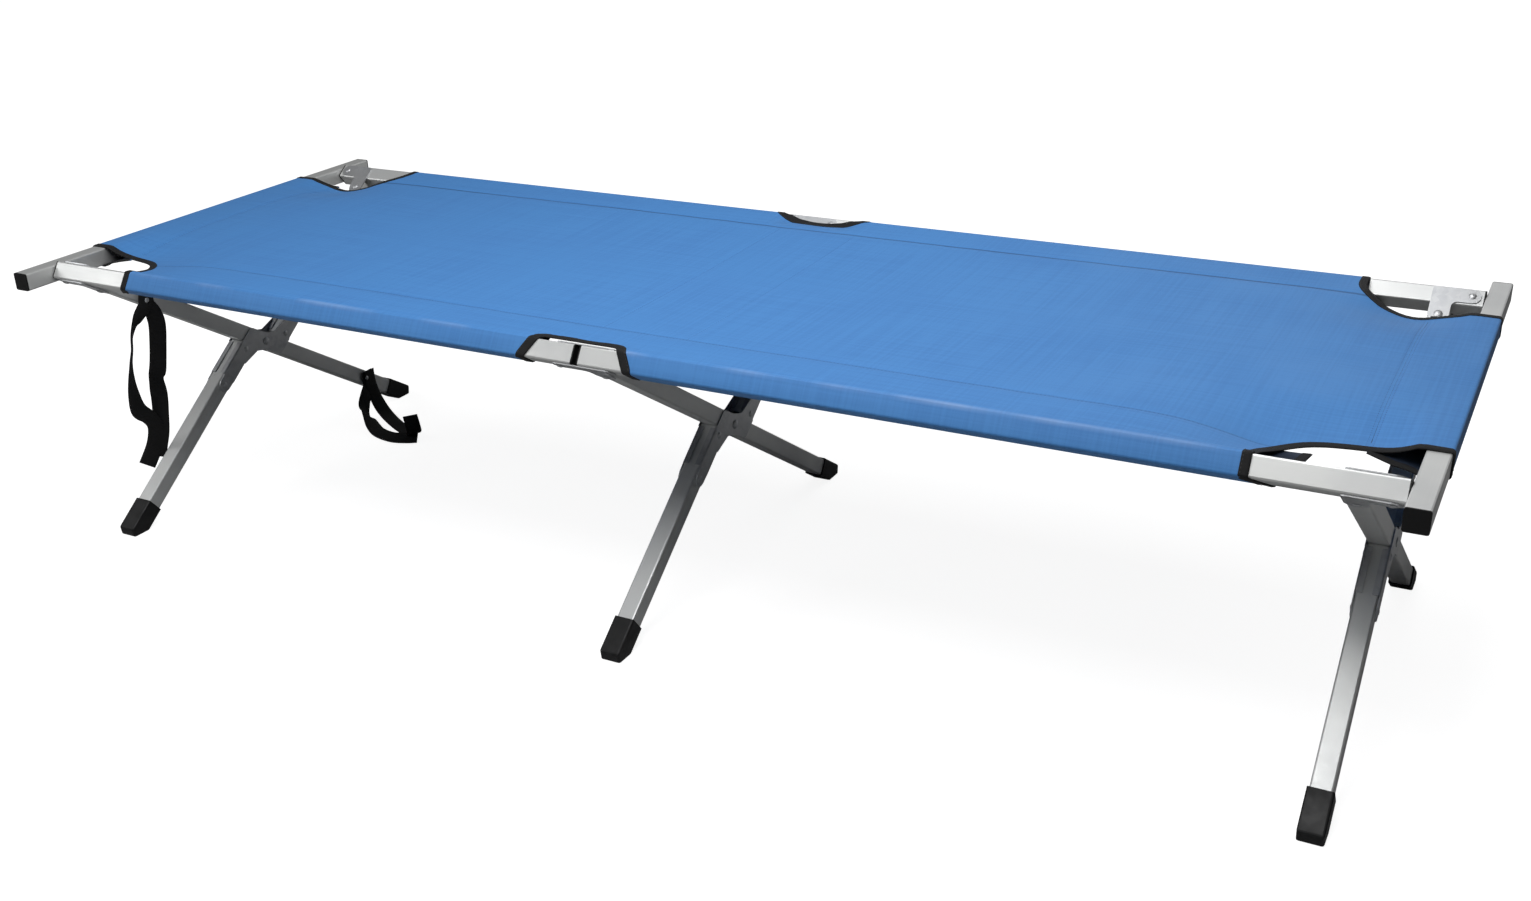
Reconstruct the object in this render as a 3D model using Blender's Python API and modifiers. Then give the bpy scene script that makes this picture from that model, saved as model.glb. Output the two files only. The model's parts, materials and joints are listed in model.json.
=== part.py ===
"""Folding camping cot: two hinged side rails on three scissor leg pairs, plug-on end bars and a fabric bed.

+X runs along the bed towards the right end bar, +Y across it to the far rail and +Z up, with the origin on the
ground below the middle. All sizes are in metres and degrees.
"""

import math
from dataclasses import dataclass

import bmesh
import bpy
from mathutils import Matrix, Vector

# Overall layout
BAR_SPACING = 1.880
BAR_LENGTH = 0.730
RAIL_SPACING = 0.610
RAIL_HEIGHT = 0.4095
PIVOT_HEIGHT = 0.2105
STATION_INSET = 0.063
LEG_JOG = 0.028

# Square tube and sheet stock
TUBE = 0.025
TUBE_WALL = 0.0015
TUBE_CORNER = 0.0022
SHEET = 0.0015
CLEARANCE = 0.0003
WELD = 1e-6

# Middle hinge of the rails
HINGE_X = -0.021
RAIL_GAP = 0.011
PLUG_FLANGE = 0.002
PLUG_DEPTH = 0.009
STUD_RADIUS = 0.005
STUD_LENGTH = 0.009

# Plates that carry the legs: tees over the middle hinge, and elbows towards the end bars
PLATE_HALF_WIDTH = 0.0105
STEM_HALF_WIDTH = 0.0125
PLATE_RIVET_REACH = 0.035
HINGE_LONG_REACH = 0.047
HINGE_SHORT_REACH = 0.0215
PLATE_FILLET = 0.007
PLATE_CORNER = 0.004
LEG_PIN_REACH = 0.032
LEG_TOP_GAP = 0.0075
LEG_PIN_RADIUS = 0.003
LEG_PIN_HEAD = 0.0055
RIVET_RADIUS = 0.0025
RIVET_HEAD = 0.0048
HEAD_RISE = 0.002

# Scissor crossing
SCISSOR_PIN_RADIUS = 0.004
SCISSOR_PIN_HEAD = 0.0065
OPEN_STOP_GAP = 0.0006
INNER_RIVET_REACH = 0.035
EAR_REACH = 0.105
EAR_RADIUS = 0.0115
CHANNEL_START = 0.033
CHANNEL_END = 0.091
CHANNEL_BEND = 0.0022
FOLD_HEIGHT = 0.006
FLARE_START = 0.054
FLARE_END = 0.023
FLARE_OFFSET = 0.005
LIP = 0.009
SHEET_INSET = 0.00015
FOLD_OVERRUN = 0.0005

# Foot caps
CAP_WALL = 0.0020
CAP_GRIP = 0.026
SOLE_THICKNESS = 0.008
SOLE_LENGTH = 0.029
TIP_LEAN = 0.003
TIP_RISE = 0.022
CAP_BEVEL = 0.0030
CAP_RIM_BEVEL = 0.0008

# Fabric bed
CLOTH = 0.0012
SLEEVE_CLOTH = 0.0009
SLEEVE_SETBACK = 0.160
SLEEVE_SEAM = 0.065
MIDDLE_CUT_HALF = 0.085
MIDDLE_CUT_TOP = 0.066
MIDDLE_CUT_INSIDE = 0.012
MIDDLE_CUT_FAR_X = 0.004
SHEET_OVERLAP = 0.012
EDGE_INSET = 0.0005
HEM_SLOPE = 0.004
HEM_INSET = 0.083
HEM_SEAM = 0.050
CORNER_CUT_RADIUS = 0.065

# Webbing straps
WEBBING_WIDTH = 0.025
WEBBING = 0.0012
STRAP_STANDOFF = 0.003
STRAP_LAYER = 0.0016
STRAP_RIVET_RADIUS = 0.002
STRAP_RIVET_HEAD = 0.004
UPPER_STRAP_DROP = 0.1026
UPPER_STRAP_OFFSET = -0.0053
UPPER_STRAP_HANG = 0.265
LOWER_STRAP_RISE = 0.0938
LOWER_STRAP_OFFSET = 0.0

# Facets
PIN_SIDES = 10
ROUND_STEPS = 5
CORNER_STEPS = 2
ROUTE_STEPS = 3
FILL_TURN = 0.37

SIDES = ("near", "far")
ENDS = {"left": -1, "right": 1}

HALF_TUBE = TUBE / 2
PLATE_OUTER = HALF_TUBE + CLEARANCE + SHEET
CHANNEL_HALF = HALF_TUBE + CLEARANCE + SHEET
BAR_X = BAR_SPACING / 2
RAIL_END = BAR_X - HALF_TUBE - CLEARANCE - PLUG_FLANGE
STATION_SPACING = BAR_X - STATION_INSET
STATIONS = {"left": -STATION_SPACING, "middle": 0.0, "right": STATION_SPACING}
PLATE_ARMS = {
    "left": {-1: PLATE_RIVET_REACH},
    "middle": {-1: HINGE_LONG_REACH, 1: HINGE_SHORT_REACH},
    "right": {1: PLATE_RIVET_REACH},
}
SLEEVE_END = BAR_X - SLEEVE_SETBACK
MIDDLE_CUTS = {-1: HINGE_X, 1: MIDDLE_CUT_FAR_X}
HEM_HALF_WIDTH = RAIL_SPACING / 2 - HEM_INSET

# The straight legs run from the near rail through the pivot, and the jogged ones are offset beside it
STRAIGHT_ANGLE = math.atan2(RAIL_HEIGHT - PIVOT_HEIGHT, RAIL_SPACING / 2)
UPPER_REACH = math.hypot(RAIL_HEIGHT - PIVOT_HEIGHT, RAIL_SPACING / 2)
JOG_ANGLE = STRAIGHT_ANGLE + math.asin(LEG_JOG / UPPER_REACH)
JOG_REACH = math.sqrt(UPPER_REACH ** 2 - LEG_JOG ** 2)


@dataclass
class LegPlane:
    """The plane of one set of legs: along the leg, square to it, with the scissor pivot as its origin."""

    empty: bpy.types.Object
    angle: float
    inward: int
    rail_along: float
    rail_offset: float
    foot_offset: float
    foot_sign: int

    def to_local(self, y, z):
        """Turn a point across the bed and up into along and offset."""
        rise = z - PIVOT_HEIGHT
        along = y * math.cos(self.angle) + rise * math.sin(self.angle)
        offset = -y * math.sin(self.angle) + rise * math.cos(self.angle)
        return along, offset

    def to_world(self, along, offset):
        """Turn along and offset into a point across the bed and up."""
        y = along * math.cos(self.angle) - offset * math.sin(self.angle)
        z = PIVOT_HEIGHT + along * math.sin(self.angle) + offset * math.cos(self.angle)
        return y, z

    def along_at_height(self, offset, height):
        """Where a line along the leg at this offset reaches a height."""
        return (height - PIVOT_HEIGHT - offset * math.cos(self.angle)) / math.sin(self.angle)


def clear_scene():
    """Remove every object of the open scene."""
    for obj in list(bpy.data.objects):
        bpy.data.objects.remove(obj, do_unlink=True)


def new_collection(name):
    """Add a collection to the scene."""
    collection = bpy.data.collections.new(name)
    bpy.context.scene.collection.children.link(collection)
    return collection


def new_material(name, colour, roughness, metallic):
    """Make a plain Principled material."""
    material = bpy.data.materials.new(name)
    material.use_nodes = True
    shader = material.node_tree.nodes["Principled BSDF"]
    shader.inputs["Base Color"].default_value = (*colour, 1.0)
    shader.inputs["Roughness"].default_value = roughness
    shader.inputs["Metallic"].default_value = metallic
    return material


clear_scene()
PARTS = new_collection("camping_cot")
TOOLS = new_collection("cutters")

ALUMINIUM = new_material("satin_aluminium", (0.66, 0.67, 0.66), 0.38, 1.0)
STEEL = new_material("zinc_steel", (0.52, 0.53, 0.53), 0.34, 1.0)
RUBBER = new_material("black_plastic", (0.018, 0.018, 0.02), 0.55, 0.0)
CLOTH_BLUE = new_material("blue_cloth", (0.08, 0.24, 0.58), 0.8, 0.0)
BLACK_WEBBING = new_material("black_webbing", (0.012, 0.012, 0.013), 0.85, 0.0)

# Outlines lie in (Y, Z), (X, Z) and (X, Y) when they are extruded along X, Y and Z
AXES = {
    "X": Matrix(((0, 0, 1, 0), (1, 0, 0, 0), (0, 1, 0, 0), (0, 0, 0, 1))),
    "Y": Matrix(((1, 0, 0, 0), (0, 0, 1, 0), (0, 1, 0, 0), (0, 0, 0, 1))),
    "Z": Matrix.Identity(4),
}


def arc(centre, radius, start, end, steps=ROUND_STEPS):
    """Points along an arc, with angles in degrees, both ends included."""
    points = []
    for step in range(steps + 1):
        turn = math.radians(start + (end - start) * step / steps)
        points.append((centre[0] + radius * math.cos(turn), centre[1] + radius * math.sin(turn)))
    return points


def circle(centre, radius, sides=PIN_SIDES):
    """A closed ring of points."""
    return arc(centre, radius, 0.0, 360.0 * (sides - 1) / sides, sides - 1)


def hole_radius(shaft):
    """A faceted hole whose flats clear a round shaft."""
    return (shaft + CLEARANCE) / math.cos(math.pi / PIN_SIDES)


def rounded_square(size, corner, steps, centre=(0.0, 0.0)):
    """A square outline with round corners."""
    reach = size / 2 - corner
    points = []
    for start, sx, sy in ((0, 1, 1), (90, -1, 1), (180, -1, -1), (270, 1, -1)):
        points += arc((centre[0] + sx * reach, centre[1] + sy * reach), corner, start, start + 90, steps)
    return points


def fillet_path(points, radius, steps=3):
    """An open path whose inner corners are rounded."""
    path = [Vector(points[0])]
    for before, corner, after in zip(points, points[1:], points[2:]):
        corner = Vector(corner)
        back = (Vector(before) - corner).normalized()
        ahead = (Vector(after) - corner).normalized()
        half = back.angle(ahead) / 2
        setback = radius / math.tan(half)
        centre = corner + (back + ahead).normalized() * (radius / math.sin(half))
        first = corner + back * setback - centre
        last = corner + ahead * setback - centre
        turn = first.angle_signed(last)
        for step in range(steps + 1):
            spin = Matrix.Rotation(-turn * step / steps, 2)
            path.append(centre + spin @ first)
    path.append(Vector(points[-1]))
    return path


def band(path, thickness):
    """The closed outline of a strip that follows an open path."""
    left, right = [], []
    last = len(path) - 1
    for index, point in enumerate(path):
        before = (point - path[max(index - 1, 0)]) if index else (path[1] - path[0])
        after = (path[min(index + 1, last)] - point) if index < last else (point - path[last - 1])
        tangent = (before.normalized() + after.normalized()).normalized()
        miter = 1.0 / max(tangent.dot(after.normalized()), 0.5)
        normal = Vector((-tangent.y, tangent.x)) * (thickness / 2 * miter)
        left.append(tuple(point + normal))
        right.append(tuple(point - normal))
    return left + right[::-1]


def outline_mesh(name, loops, low, high, axis):
    """Extrude flat outlines from low to high along an axis: the first is the rim and the rest are holes.

    The outlines are filled while turned a little, since points in level rows can lose their fill.
    """
    curve = bpy.data.curves.new(name, "CURVE")
    curve.dimensions = "2D"
    curve.fill_mode = "BOTH"
    curve.extrude = (high - low) / 2
    turn = Matrix.Rotation(FILL_TURN, 4, "Z")
    for loop in loops:
        spline = curve.splines.new("POLY")
        spline.points.add(len(loop) - 1)
        for point, (u, v) in zip(spline.points, loop):
            point.co = turn @ Vector((u, v, 0.0, 1.0))
        spline.use_cyclic_u = True
    drawn = bpy.data.objects.new(name, curve)
    TOOLS.objects.link(drawn)
    graph = bpy.context.evaluated_depsgraph_get()
    mesh = bpy.data.meshes.new_from_object(drawn.evaluated_get(graph), depsgraph=graph)
    bpy.data.objects.remove(drawn, do_unlink=True)
    bpy.data.curves.remove(curve)
    mesh.transform(AXES[axis] @ Matrix.Translation((0.0, 0.0, (high + low) / 2)) @ turn.inverted())
    return tidy_mesh(mesh)


def tidy_mesh(mesh):
    """Weld a mesh and turn its faces outwards."""
    work = bmesh.new()
    work.from_mesh(mesh)
    bmesh.ops.remove_doubles(work, verts=work.verts, dist=WELD)
    bmesh.ops.recalc_face_normals(work, faces=work.faces)
    work.to_mesh(mesh)
    work.free()
    return mesh


def turned_mesh(name, profile, axis="Z"):
    """Turn a profile of radius and height, listed down its outer side, about an axis."""
    mesh = bpy.data.meshes.new(name)
    edges = [(index, index + 1) for index in range(len(profile) - 1)]
    mesh.from_pydata([(radius, 0.0, height) for radius, height in profile], edges, [])
    lathe = bpy.data.objects.new(name, mesh)
    TOOLS.objects.link(lathe)
    screw = lathe.modifiers.new("turn", "SCREW")
    screw.steps = PIN_SIDES
    screw.render_steps = PIN_SIDES
    screw.use_merge_vertices = True
    screw.merge_threshold = 0.00001
    graph = bpy.context.evaluated_depsgraph_get()
    turned = bpy.data.meshes.new_from_object(lathe.evaluated_get(graph), depsgraph=graph)
    bpy.data.objects.remove(lathe, do_unlink=True)
    bpy.data.meshes.remove(mesh)
    turned.transform(AXES[axis])
    return tidy_mesh(turned)


def pin_mesh(name, shaft, head, reach, axis):
    """A pin with a low domed head at each end, whose heads start at plus and minus reach."""
    rise = HEAD_RISE
    profile = [(0.0, reach + rise), (head * 0.55, reach + rise * 0.85), (head, reach + rise * 0.3)]
    profile += [(head, reach), (shaft, reach), (shaft, -reach), (head, -reach)]
    profile += [(head, -reach - rise * 0.3), (head * 0.55, -reach - rise * 0.85), (0.0, -reach - rise)]
    return turned_mesh(name, profile, axis)


def add_part(name, mesh, parent, location, material):
    """Put a named piece in the parts collection on its parent."""
    part = bpy.data.objects.new(name, mesh)
    mesh.name = name
    mesh.materials.clear()
    mesh.materials.append(material)
    part.parent = parent
    part.location = location
    PARTS.objects.link(part)
    return part


def use_tool(part, mesh, operation, shift=(0.0, 0.0, 0.0)):
    """Cut or join a mesh, given in the part's own axes, with a Boolean modifier."""
    tool = bpy.data.objects.new(f"{part.name}_{operation.lower()}", mesh)
    tool.parent = part.parent
    tool.location = part.location + Vector(shift)
    tool.hide_render = True
    tool.display_type = "WIRE"
    TOOLS.objects.link(tool)
    modifier = part.modifiers.new(operation.lower(), "BOOLEAN")
    modifier.operation = operation
    modifier.solver = "EXACT"
    modifier.object = tool
    return tool


def shade_round(part, angle=35.0):
    """Shade a piece smooth across its shallow edges."""
    part.data.shade_smooth()
    part.data.set_sharp_from_angle(angle=math.radians(angle))


def tube_mesh(name, low, high, axis, centre=(0.0, 0.0)):
    """A straight length of square tube along an axis, open at both ends."""
    outer = rounded_square(TUBE, TUBE_CORNER, CORNER_STEPS, centre)
    inner = rounded_square(TUBE - 2 * TUBE_WALL, TUBE_CORNER - TUBE_WALL, 1, centre)
    return outline_mesh(name, [outer, inner], low, high, axis)


def drill(part, shaft, centre, reach, axis):
    """Drill a clear hole for a shaft right through a piece, both ways from its centre."""
    hole = outline_mesh("drill", [circle((0.0, 0.0), hole_radius(shaft))], -reach, reach, axis)
    use_tool(part, hole, "DIFFERENCE", centre)


def plate_side(reach):
    """One side of a plate's outline, from the rail's outer edge to the stem, with an arm where it has a reach."""
    if not reach:
        centre = (STEM_HALF_WIDTH - PLATE_CORNER, PLATE_CORNER - PLATE_HALF_WIDTH)
        return arc(centre, PLATE_CORNER, -90, 0, 2)
    centre = (STEM_HALF_WIDTH + PLATE_FILLET, PLATE_HALF_WIDTH + PLATE_FILLET)
    return arc((reach, 0.0), PLATE_HALF_WIDTH, -90, 90) + arc(centre, PLATE_FILLET, 270, 180, 3)


def plate_outline(inward, arms):
    """A plate: its arms along the rail, and a stem to the leg pin on the inward side."""
    points = plate_side(arms.get(1)) + arc((0.0, LEG_PIN_REACH), STEM_HALF_WIDTH, 0, 180)
    points += [(-x, y) for x, y in reversed(plate_side(arms.get(-1)))]
    if inward < 0:
        points = [(x, -y) for x, y in reversed(points)]
    return points


def add_tee_plates(plane, side, station, x):
    """The two plates that clamp a rail and a leg at one station, and the pin that the leg folds on."""
    place = Vector((x, plane.rail_along, plane.rail_offset))
    arms = PLATE_ARMS[station]
    outline = plate_outline(plane.inward, arms)
    pin_hole = circle((0.0, plane.inward * LEG_PIN_REACH), hole_radius(LEG_PIN_RADIUS))
    rivet_places = [arm * reach for arm, reach in arms.items()]
    rivet_holes = [circle((rivet_x, 0.0), hole_radius(RIVET_RADIUS)) for rivet_x in rivet_places]
    inner = HALF_TUBE + CLEARANCE
    top = outline_mesh("tee", [outline, pin_hole], inner, PLATE_OUTER, "Z")
    plate = add_part(f"tee_plate_{side}_{station}_top", top, plane.empty, place, STEEL)
    rivet_top = PLATE_OUTER - CLEARANCE
    rivet_reach = (rivet_top + PLATE_OUTER + CLEARANCE) / 2
    for rivet_x in rivet_places:
        rivet = pin_mesh("rivet", RIVET_RADIUS, RIVET_HEAD, rivet_reach, "Z")
        use_tool(plate, rivet, "UNION", (rivet_x, 0.0, rivet_top - rivet_reach))
    bottom = outline_mesh("tee", [outline, pin_hole] + rivet_holes, -PLATE_OUTER, -inner, "Z")
    add_part(f"tee_plate_{side}_{station}_bottom", bottom, plane.empty, place, STEEL)
    pin = pin_mesh("pin", LEG_PIN_RADIUS, LEG_PIN_HEAD, PLATE_OUTER + CLEARANCE, "Z")
    pin_place = place + Vector((0.0, plane.inward * LEG_PIN_REACH, 0.0))
    shade_round(add_part(f"leg_pin_{side}_{station}", pin, plane.empty, pin_place, STEEL))


def add_rail(plane, side):
    """One side rail in two halves, drilled for its plate rivets, with the plugs in its ends."""
    for end, sign in ENDS.items():
        hinge_end = HINGE_X + sign * RAIL_GAP / 2
        inner_end, outer_end = sorted((hinge_end, sign * RAIL_END))
        place = Vector((0.0, plane.rail_along, plane.rail_offset))
        mesh = tube_mesh("tube", inner_end, outer_end, "X")
        rail = add_part(f"rail_{side}_{end}", mesh, plane.empty, place, ALUMINIUM)
        shade_round(rail)
        for reach in (PLATE_ARMS["middle"][sign], STATION_SPACING + PLATE_ARMS[end][sign]):
            drill(rail, RIVET_RADIUS, (sign * reach, 0.0, 0.0), TUBE, "Z")
        add_plug(f"rail_hinge_plug_{side}_{end}", plane.empty, place, "X", hinge_end, -sign)
        plug = add_plug(f"rail_end_plug_{side}_{end}", plane.empty, place, "X", sign * RAIL_END, sign)
        if side == "near":
            reach = sorted((sign * (RAIL_END + PLUG_FLANGE / 2), sign * (RAIL_END + PLUG_FLANGE + STUD_LENGTH)))
            stud = outline_mesh("stud", [circle((0.0, 0.0), STUD_RADIUS)], reach[0], reach[1], "X")
            use_tool(plug, stud, "UNION")


def add_plug(name, parent, place, axis, face, outward, centre=(0.0, 0.0)):
    """A square plug: a flange on the tube's end at face, and a stub inside the tube."""
    rim = sorted((face, face + outward * PLUG_FLANGE))
    flange = outline_mesh("flange", [rounded_square(TUBE, TUBE_CORNER, CORNER_STEPS, centre)], rim[0], rim[1], axis)
    plug = add_part(name, flange, parent, place, RUBBER)
    stub_size = TUBE - 2 * TUBE_WALL - 2 * CLEARANCE
    stub_run = sorted((face + outward * PLUG_FLANGE / 2, face - outward * PLUG_DEPTH))
    stub = outline_mesh("stub", [rounded_square(stub_size, TUBE_CORNER / 2, 1, centre)], *stub_run, axis)
    use_tool(plug, stub, "UNION")
    return plug


def add_straight_leg(plane, station, x):
    """A straight leg from the near rail to the far foot, bored for the scissor pin and the leg pin."""
    top = plane.rail_along + plane.inward * (HALF_TUBE + LEG_TOP_GAP)
    foot = leg_foot_end(plane)
    mesh = tube_mesh("tube", top, foot, "Y")
    leg = add_part(f"straight_leg_{station}", mesh, plane.empty, (x, 0.0, 0.0), ALUMINIUM)
    shade_round(leg)
    drill(leg, SCISSOR_PIN_RADIUS, (0.0, 0.0, 0.0), TUBE, "X")
    drill(leg, LEG_PIN_RADIUS, (0.0, plane.rail_along + plane.inward * LEG_PIN_REACH, 0.0), TUBE, "Z")
    return leg


def leg_foot_end(plane):
    """Where a leg tube ends above the sole."""
    lowest = plane.foot_offset - HALF_TUBE
    return plane.along_at_height(lowest, SOLE_THICKNESS)


def crank_outline():
    """The side of the cranked bracket: two channels beside each other, joined across the straight leg."""
    lean = JOG_ANGLE + STRAIGHT_ANGLE
    deep = LEG_JOG + CHANNEL_HALF
    seat = LEG_JOG - CHANNEL_HALF
    flat = CHANNEL_HALF - CHANNEL_BEND

    def beside_leg(offset):
        """The bracket's edge along the near face of the straight leg, at an offset."""
        return -(HALF_TUBE + offset * math.cos(lean)) / math.sin(lean)

    half = arc((-EAR_REACH, LEG_JOG), EAR_RADIUS, 90, 270)
    half += [(-CHANNEL_END, LEG_JOG - flat), (-FLARE_START, LEG_JOG - flat), (-FLARE_START, seat)]
    half += [(-FLARE_END, FLARE_OFFSET), (beside_leg(-FLARE_OFFSET) - 0.003, -FLARE_OFFSET)]
    half += [(beside_leg(-0.4 * deep), -0.4 * deep), (beside_leg(-0.88 * deep), -0.88 * deep)]
    half += [(beside_leg(-deep) + 0.001, -0.96 * deep), (beside_leg(-deep) + 0.004, -deep)]
    half += [(CHANNEL_START, -deep), (CHANNEL_START, -LEG_JOG - flat), (CHANNEL_END, -LEG_JOG - flat)]
    return half + [(-along, -offset) for along, offset in half]


def fold_mesh(path, centre, low, high):
    """A folded strip of the bracket along the leg, from its path across."""
    outline = band(fillet_path(path, CHANNEL_BEND - SHEET / 2), SHEET - 2 * SHEET_INSET)
    return outline_mesh("fold", [[(x, offset + centre) for x, offset in outline]], low, high, "Y")


def add_folds(bracket):
    """Join the webs under both tubes and the lips that close over them."""
    wall = CHANNEL_HALF - SHEET / 2
    web = [(-wall, -wall + FOLD_HEIGHT), (-wall, -wall), (wall, -wall), (wall, -wall + FOLD_HEIGHT)]
    start, end = CHANNEL_START - FOLD_OVERRUN, CHANNEL_END + FOLD_OVERRUN
    use_tool(bracket, fold_mesh(web, LEG_JOG, -end, -FLARE_END), "UNION")
    use_tool(bracket, fold_mesh(web, -LEG_JOG, start, end), "UNION")
    tip = wall + SHEET / 2 - LIP
    for side in (-1, 1):
        lip = [(side * wall, wall - FOLD_HEIGHT), (side * wall, wall), (side * tip, wall)]
        use_tool(bracket, fold_mesh(lip, LEG_JOG, -end, -start), "UNION")
        use_tool(bracket, fold_mesh(lip, -LEG_JOG, start, end), "UNION")


def add_jogged_leg(plane, station, x):
    """A jogged leg: an upper tube, a lower tube beside its line, and the cranked bracket that joins them."""
    lean = JOG_ANGLE + STRAIGHT_ANGLE
    stop = (HALF_TUBE + OPEN_STOP_GAP + (LEG_JOG + HALF_TUBE) * math.cos(lean)) / math.sin(lean)
    top = plane.rail_along + plane.inward * (HALF_TUBE + LEG_TOP_GAP)
    upper = tube_mesh("tube", stop, top, "Y", (0.0, -LEG_JOG))
    upper_leg = add_part(f"upper_leg_{station}", upper, plane.empty, (x, 0.0, 0.0), ALUMINIUM)
    pin_place = plane.rail_along + plane.inward * LEG_PIN_REACH
    drill(upper_leg, LEG_PIN_RADIUS, (0.0, pin_place, -LEG_JOG), TUBE, "Z")
    lower = tube_mesh("tube", leg_foot_end(plane), -stop, "Y", (0.0, LEG_JOG))
    lower_leg = add_part(f"lower_leg_{station}", lower, plane.empty, (x, 0.0, 0.0), ALUMINIUM)
    for leg, sign in ((upper_leg, 1), (lower_leg, -1)):
        shade_round(leg)
        for reach in (INNER_RIVET_REACH, EAR_REACH):
            drill(leg, RIVET_RADIUS, (0.0, sign * reach, -sign * LEG_JOG), TUBE, "X")
    add_crank_bracket(plane, station, x)
    pin = pin_mesh("pin", SCISSOR_PIN_RADIUS, SCISSOR_PIN_HEAD, CHANNEL_HALF + CLEARANCE, "X")
    shade_round(add_part(f"scissor_pin_{station}", pin, plane.empty, (x, 0.0, 0.0), STEEL))


def add_crank_bracket(plane, station, x):
    """The folded bracket: two cranked sides, their webs and lips, and the rivets through the tubes."""
    hole = circle((0.0, 0.0), hole_radius(SCISSOR_PIN_RADIUS))
    sides = [CHANNEL_HALF - SHEET, CHANNEL_HALF]
    right = outline_mesh("side", [crank_outline(), hole], sides[0], sides[1], "X")
    bracket = add_part(f"crank_bracket_{station}", right, plane.empty, (x, 0.0, 0.0), STEEL)
    left = outline_mesh("side", [crank_outline(), hole], -sides[1], -sides[0], "X")
    use_tool(bracket, left, "UNION")
    add_folds(bracket)
    for sign in (-1, 1):
        for reach in (INNER_RIVET_REACH, EAR_REACH):
            rivet = pin_mesh("rivet", RIVET_RADIUS, RIVET_HEAD, CHANNEL_HALF - CLEARANCE, "X")
            use_tool(bracket, rivet, "UNION", (0.0, sign * reach, -sign * LEG_JOG))


def edge_width(edge, rim):
    """The bevel width of an edge of a foot cap: the thin rim gets a small one."""
    at_rim = all(abs(vert.co.y - rim) < WELD for vert in edge.verts)
    return CAP_RIM_BEVEL if at_rim else CAP_BEVEL


def weigh_edges(mesh, width_of, sharp=math.radians(30)):
    """Give each sharp edge a bevel weight, from the bevel width that it is to get."""
    bm = bmesh.new()
    bm.from_mesh(mesh)
    layer = bm.edges.layers.float.new("bevel_weight_edge")
    for edge in bm.edges:
        if edge.calc_face_angle(0.0) > sharp:
            edge[layer] = width_of(edge) / CAP_BEVEL
    bm.to_mesh(mesh)
    bm.free()


def add_foot_cap(plane, side, station, x):
    """A foot cap: a socket on the leg, cut level for the sole and chamfered at its outer tip."""
    half = HALF_TUBE + CLEARANCE + CAP_WALL
    upper, lower = plane.foot_offset + half, plane.foot_offset - half
    outward = 1 if side == "far" else -1
    tube_end = leg_foot_end(plane)
    rim = tube_end - plane.foot_sign * CAP_GRIP
    heel = plane.along_at_height(lower, 0.0)
    spread = abs(plane.to_world(heel, lower)[0]) + SOLE_LENGTH
    tip_base = plane.to_local(outward * spread, 0.0)
    tip_top = plane.to_local(outward * (spread + TIP_LEAN), TIP_RISE)
    share = (upper - tip_base[1]) / (tip_top[1] - tip_base[1])
    shoulder = (tip_base[0] + share * (tip_top[0] - tip_base[0]), upper)
    profile = [(rim, lower), (heel, lower), tip_base, shoulder, (rim, upper)]
    mesh = outline_mesh("cap", [profile], -half, half, "X")
    weigh_edges(mesh, lambda edge: edge_width(edge, rim))
    cap = add_part(f"foot_cap_{side}_{station}", mesh, plane.empty, (x, 0.0, 0.0), RUBBER)
    bevel = cap.modifiers.new("soft_edges", "BEVEL")
    bevel.width = CAP_BEVEL
    bevel.segments = 3
    bevel.limit_method = "WEIGHT"
    socket_half = HALF_TUBE + CLEARANCE
    run = sorted((rim - plane.foot_sign * CAP_GRIP, tube_end + plane.foot_sign * CLEARANCE))
    ring = rounded_square(2 * socket_half, TUBE_CORNER, CORNER_STEPS, (0.0, plane.foot_offset))
    use_tool(cap, outline_mesh("socket", [ring], run[0], run[1], "Y"), "DIFFERENCE")
    shade_round(cap)


def add_end_bar(body, end, sign):
    """An end bar with its two plugs, and the holes that press onto the rail studs."""
    place = Vector((sign * BAR_X, 0.0, RAIL_HEIGHT))
    tube_half = BAR_LENGTH / 2 - PLUG_FLANGE
    bar = add_part(f"end_bar_{end}", tube_mesh("tube", -tube_half, tube_half, "Y"), body, place, ALUMINIUM)
    shade_round(bar)
    for row in (-1, 1):
        run = sorted((-sign * TUBE, -sign * TUBE * 0.3))
        hole = outline_mesh("stud_hole", [circle((0.0, 0.0), hole_radius(STUD_RADIUS))], run[0], run[1], "X")
        use_tool(bar, hole, "DIFFERENCE", (0.0, row * RAIL_SPACING / 2, 0.0))
    for side, row in (("near", -1), ("far", 1)):
        add_plug(f"bar_plug_{end}_{side}", body, place, "Y", row * tube_half, row)



def bed_levels():
    """The bed cloth's lower and upper faces, just above the rolled corners of the rails."""
    corner = max(math.cos(turn) + math.sin(turn) for turn in (STRAIGHT_ANGLE, JOG_ANGLE))
    low = RAIL_HEIGHT + (HALF_TUBE - TUBE_CORNER) * corner + TUBE_CORNER + CLEARANCE
    return low, low + CLOTH


def sleeve_path(plane, outward):
    """The line of a sleeve: out over the rail, round it, and back in to the seam under the bed."""
    low, high = bed_levels()
    reach = HALF_TUBE + CLEARANCE + SLEEVE_CLOTH / 2
    inward = plane.inward
    corners = []
    for along, offset in ((-inward, 1), (-inward, -1), (inward, -1)):
        corners.append(plane.to_world(plane.rail_along + along * reach, plane.rail_offset + offset * reach))
    level = (low + high) / 2
    share = (corners[0][1] - level) / (corners[0][1] - corners[1][1])
    crest = (corners[0][0] + share * (corners[1][0] - corners[0][0]), level)
    start = (crest[0] - outward * SHEET_OVERLAP, level)
    seam = (outward * (RAIL_SPACING / 2 - SLEEVE_SEAM), level)
    return [start, crest, corners[1], corners[2], seam]


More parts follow.
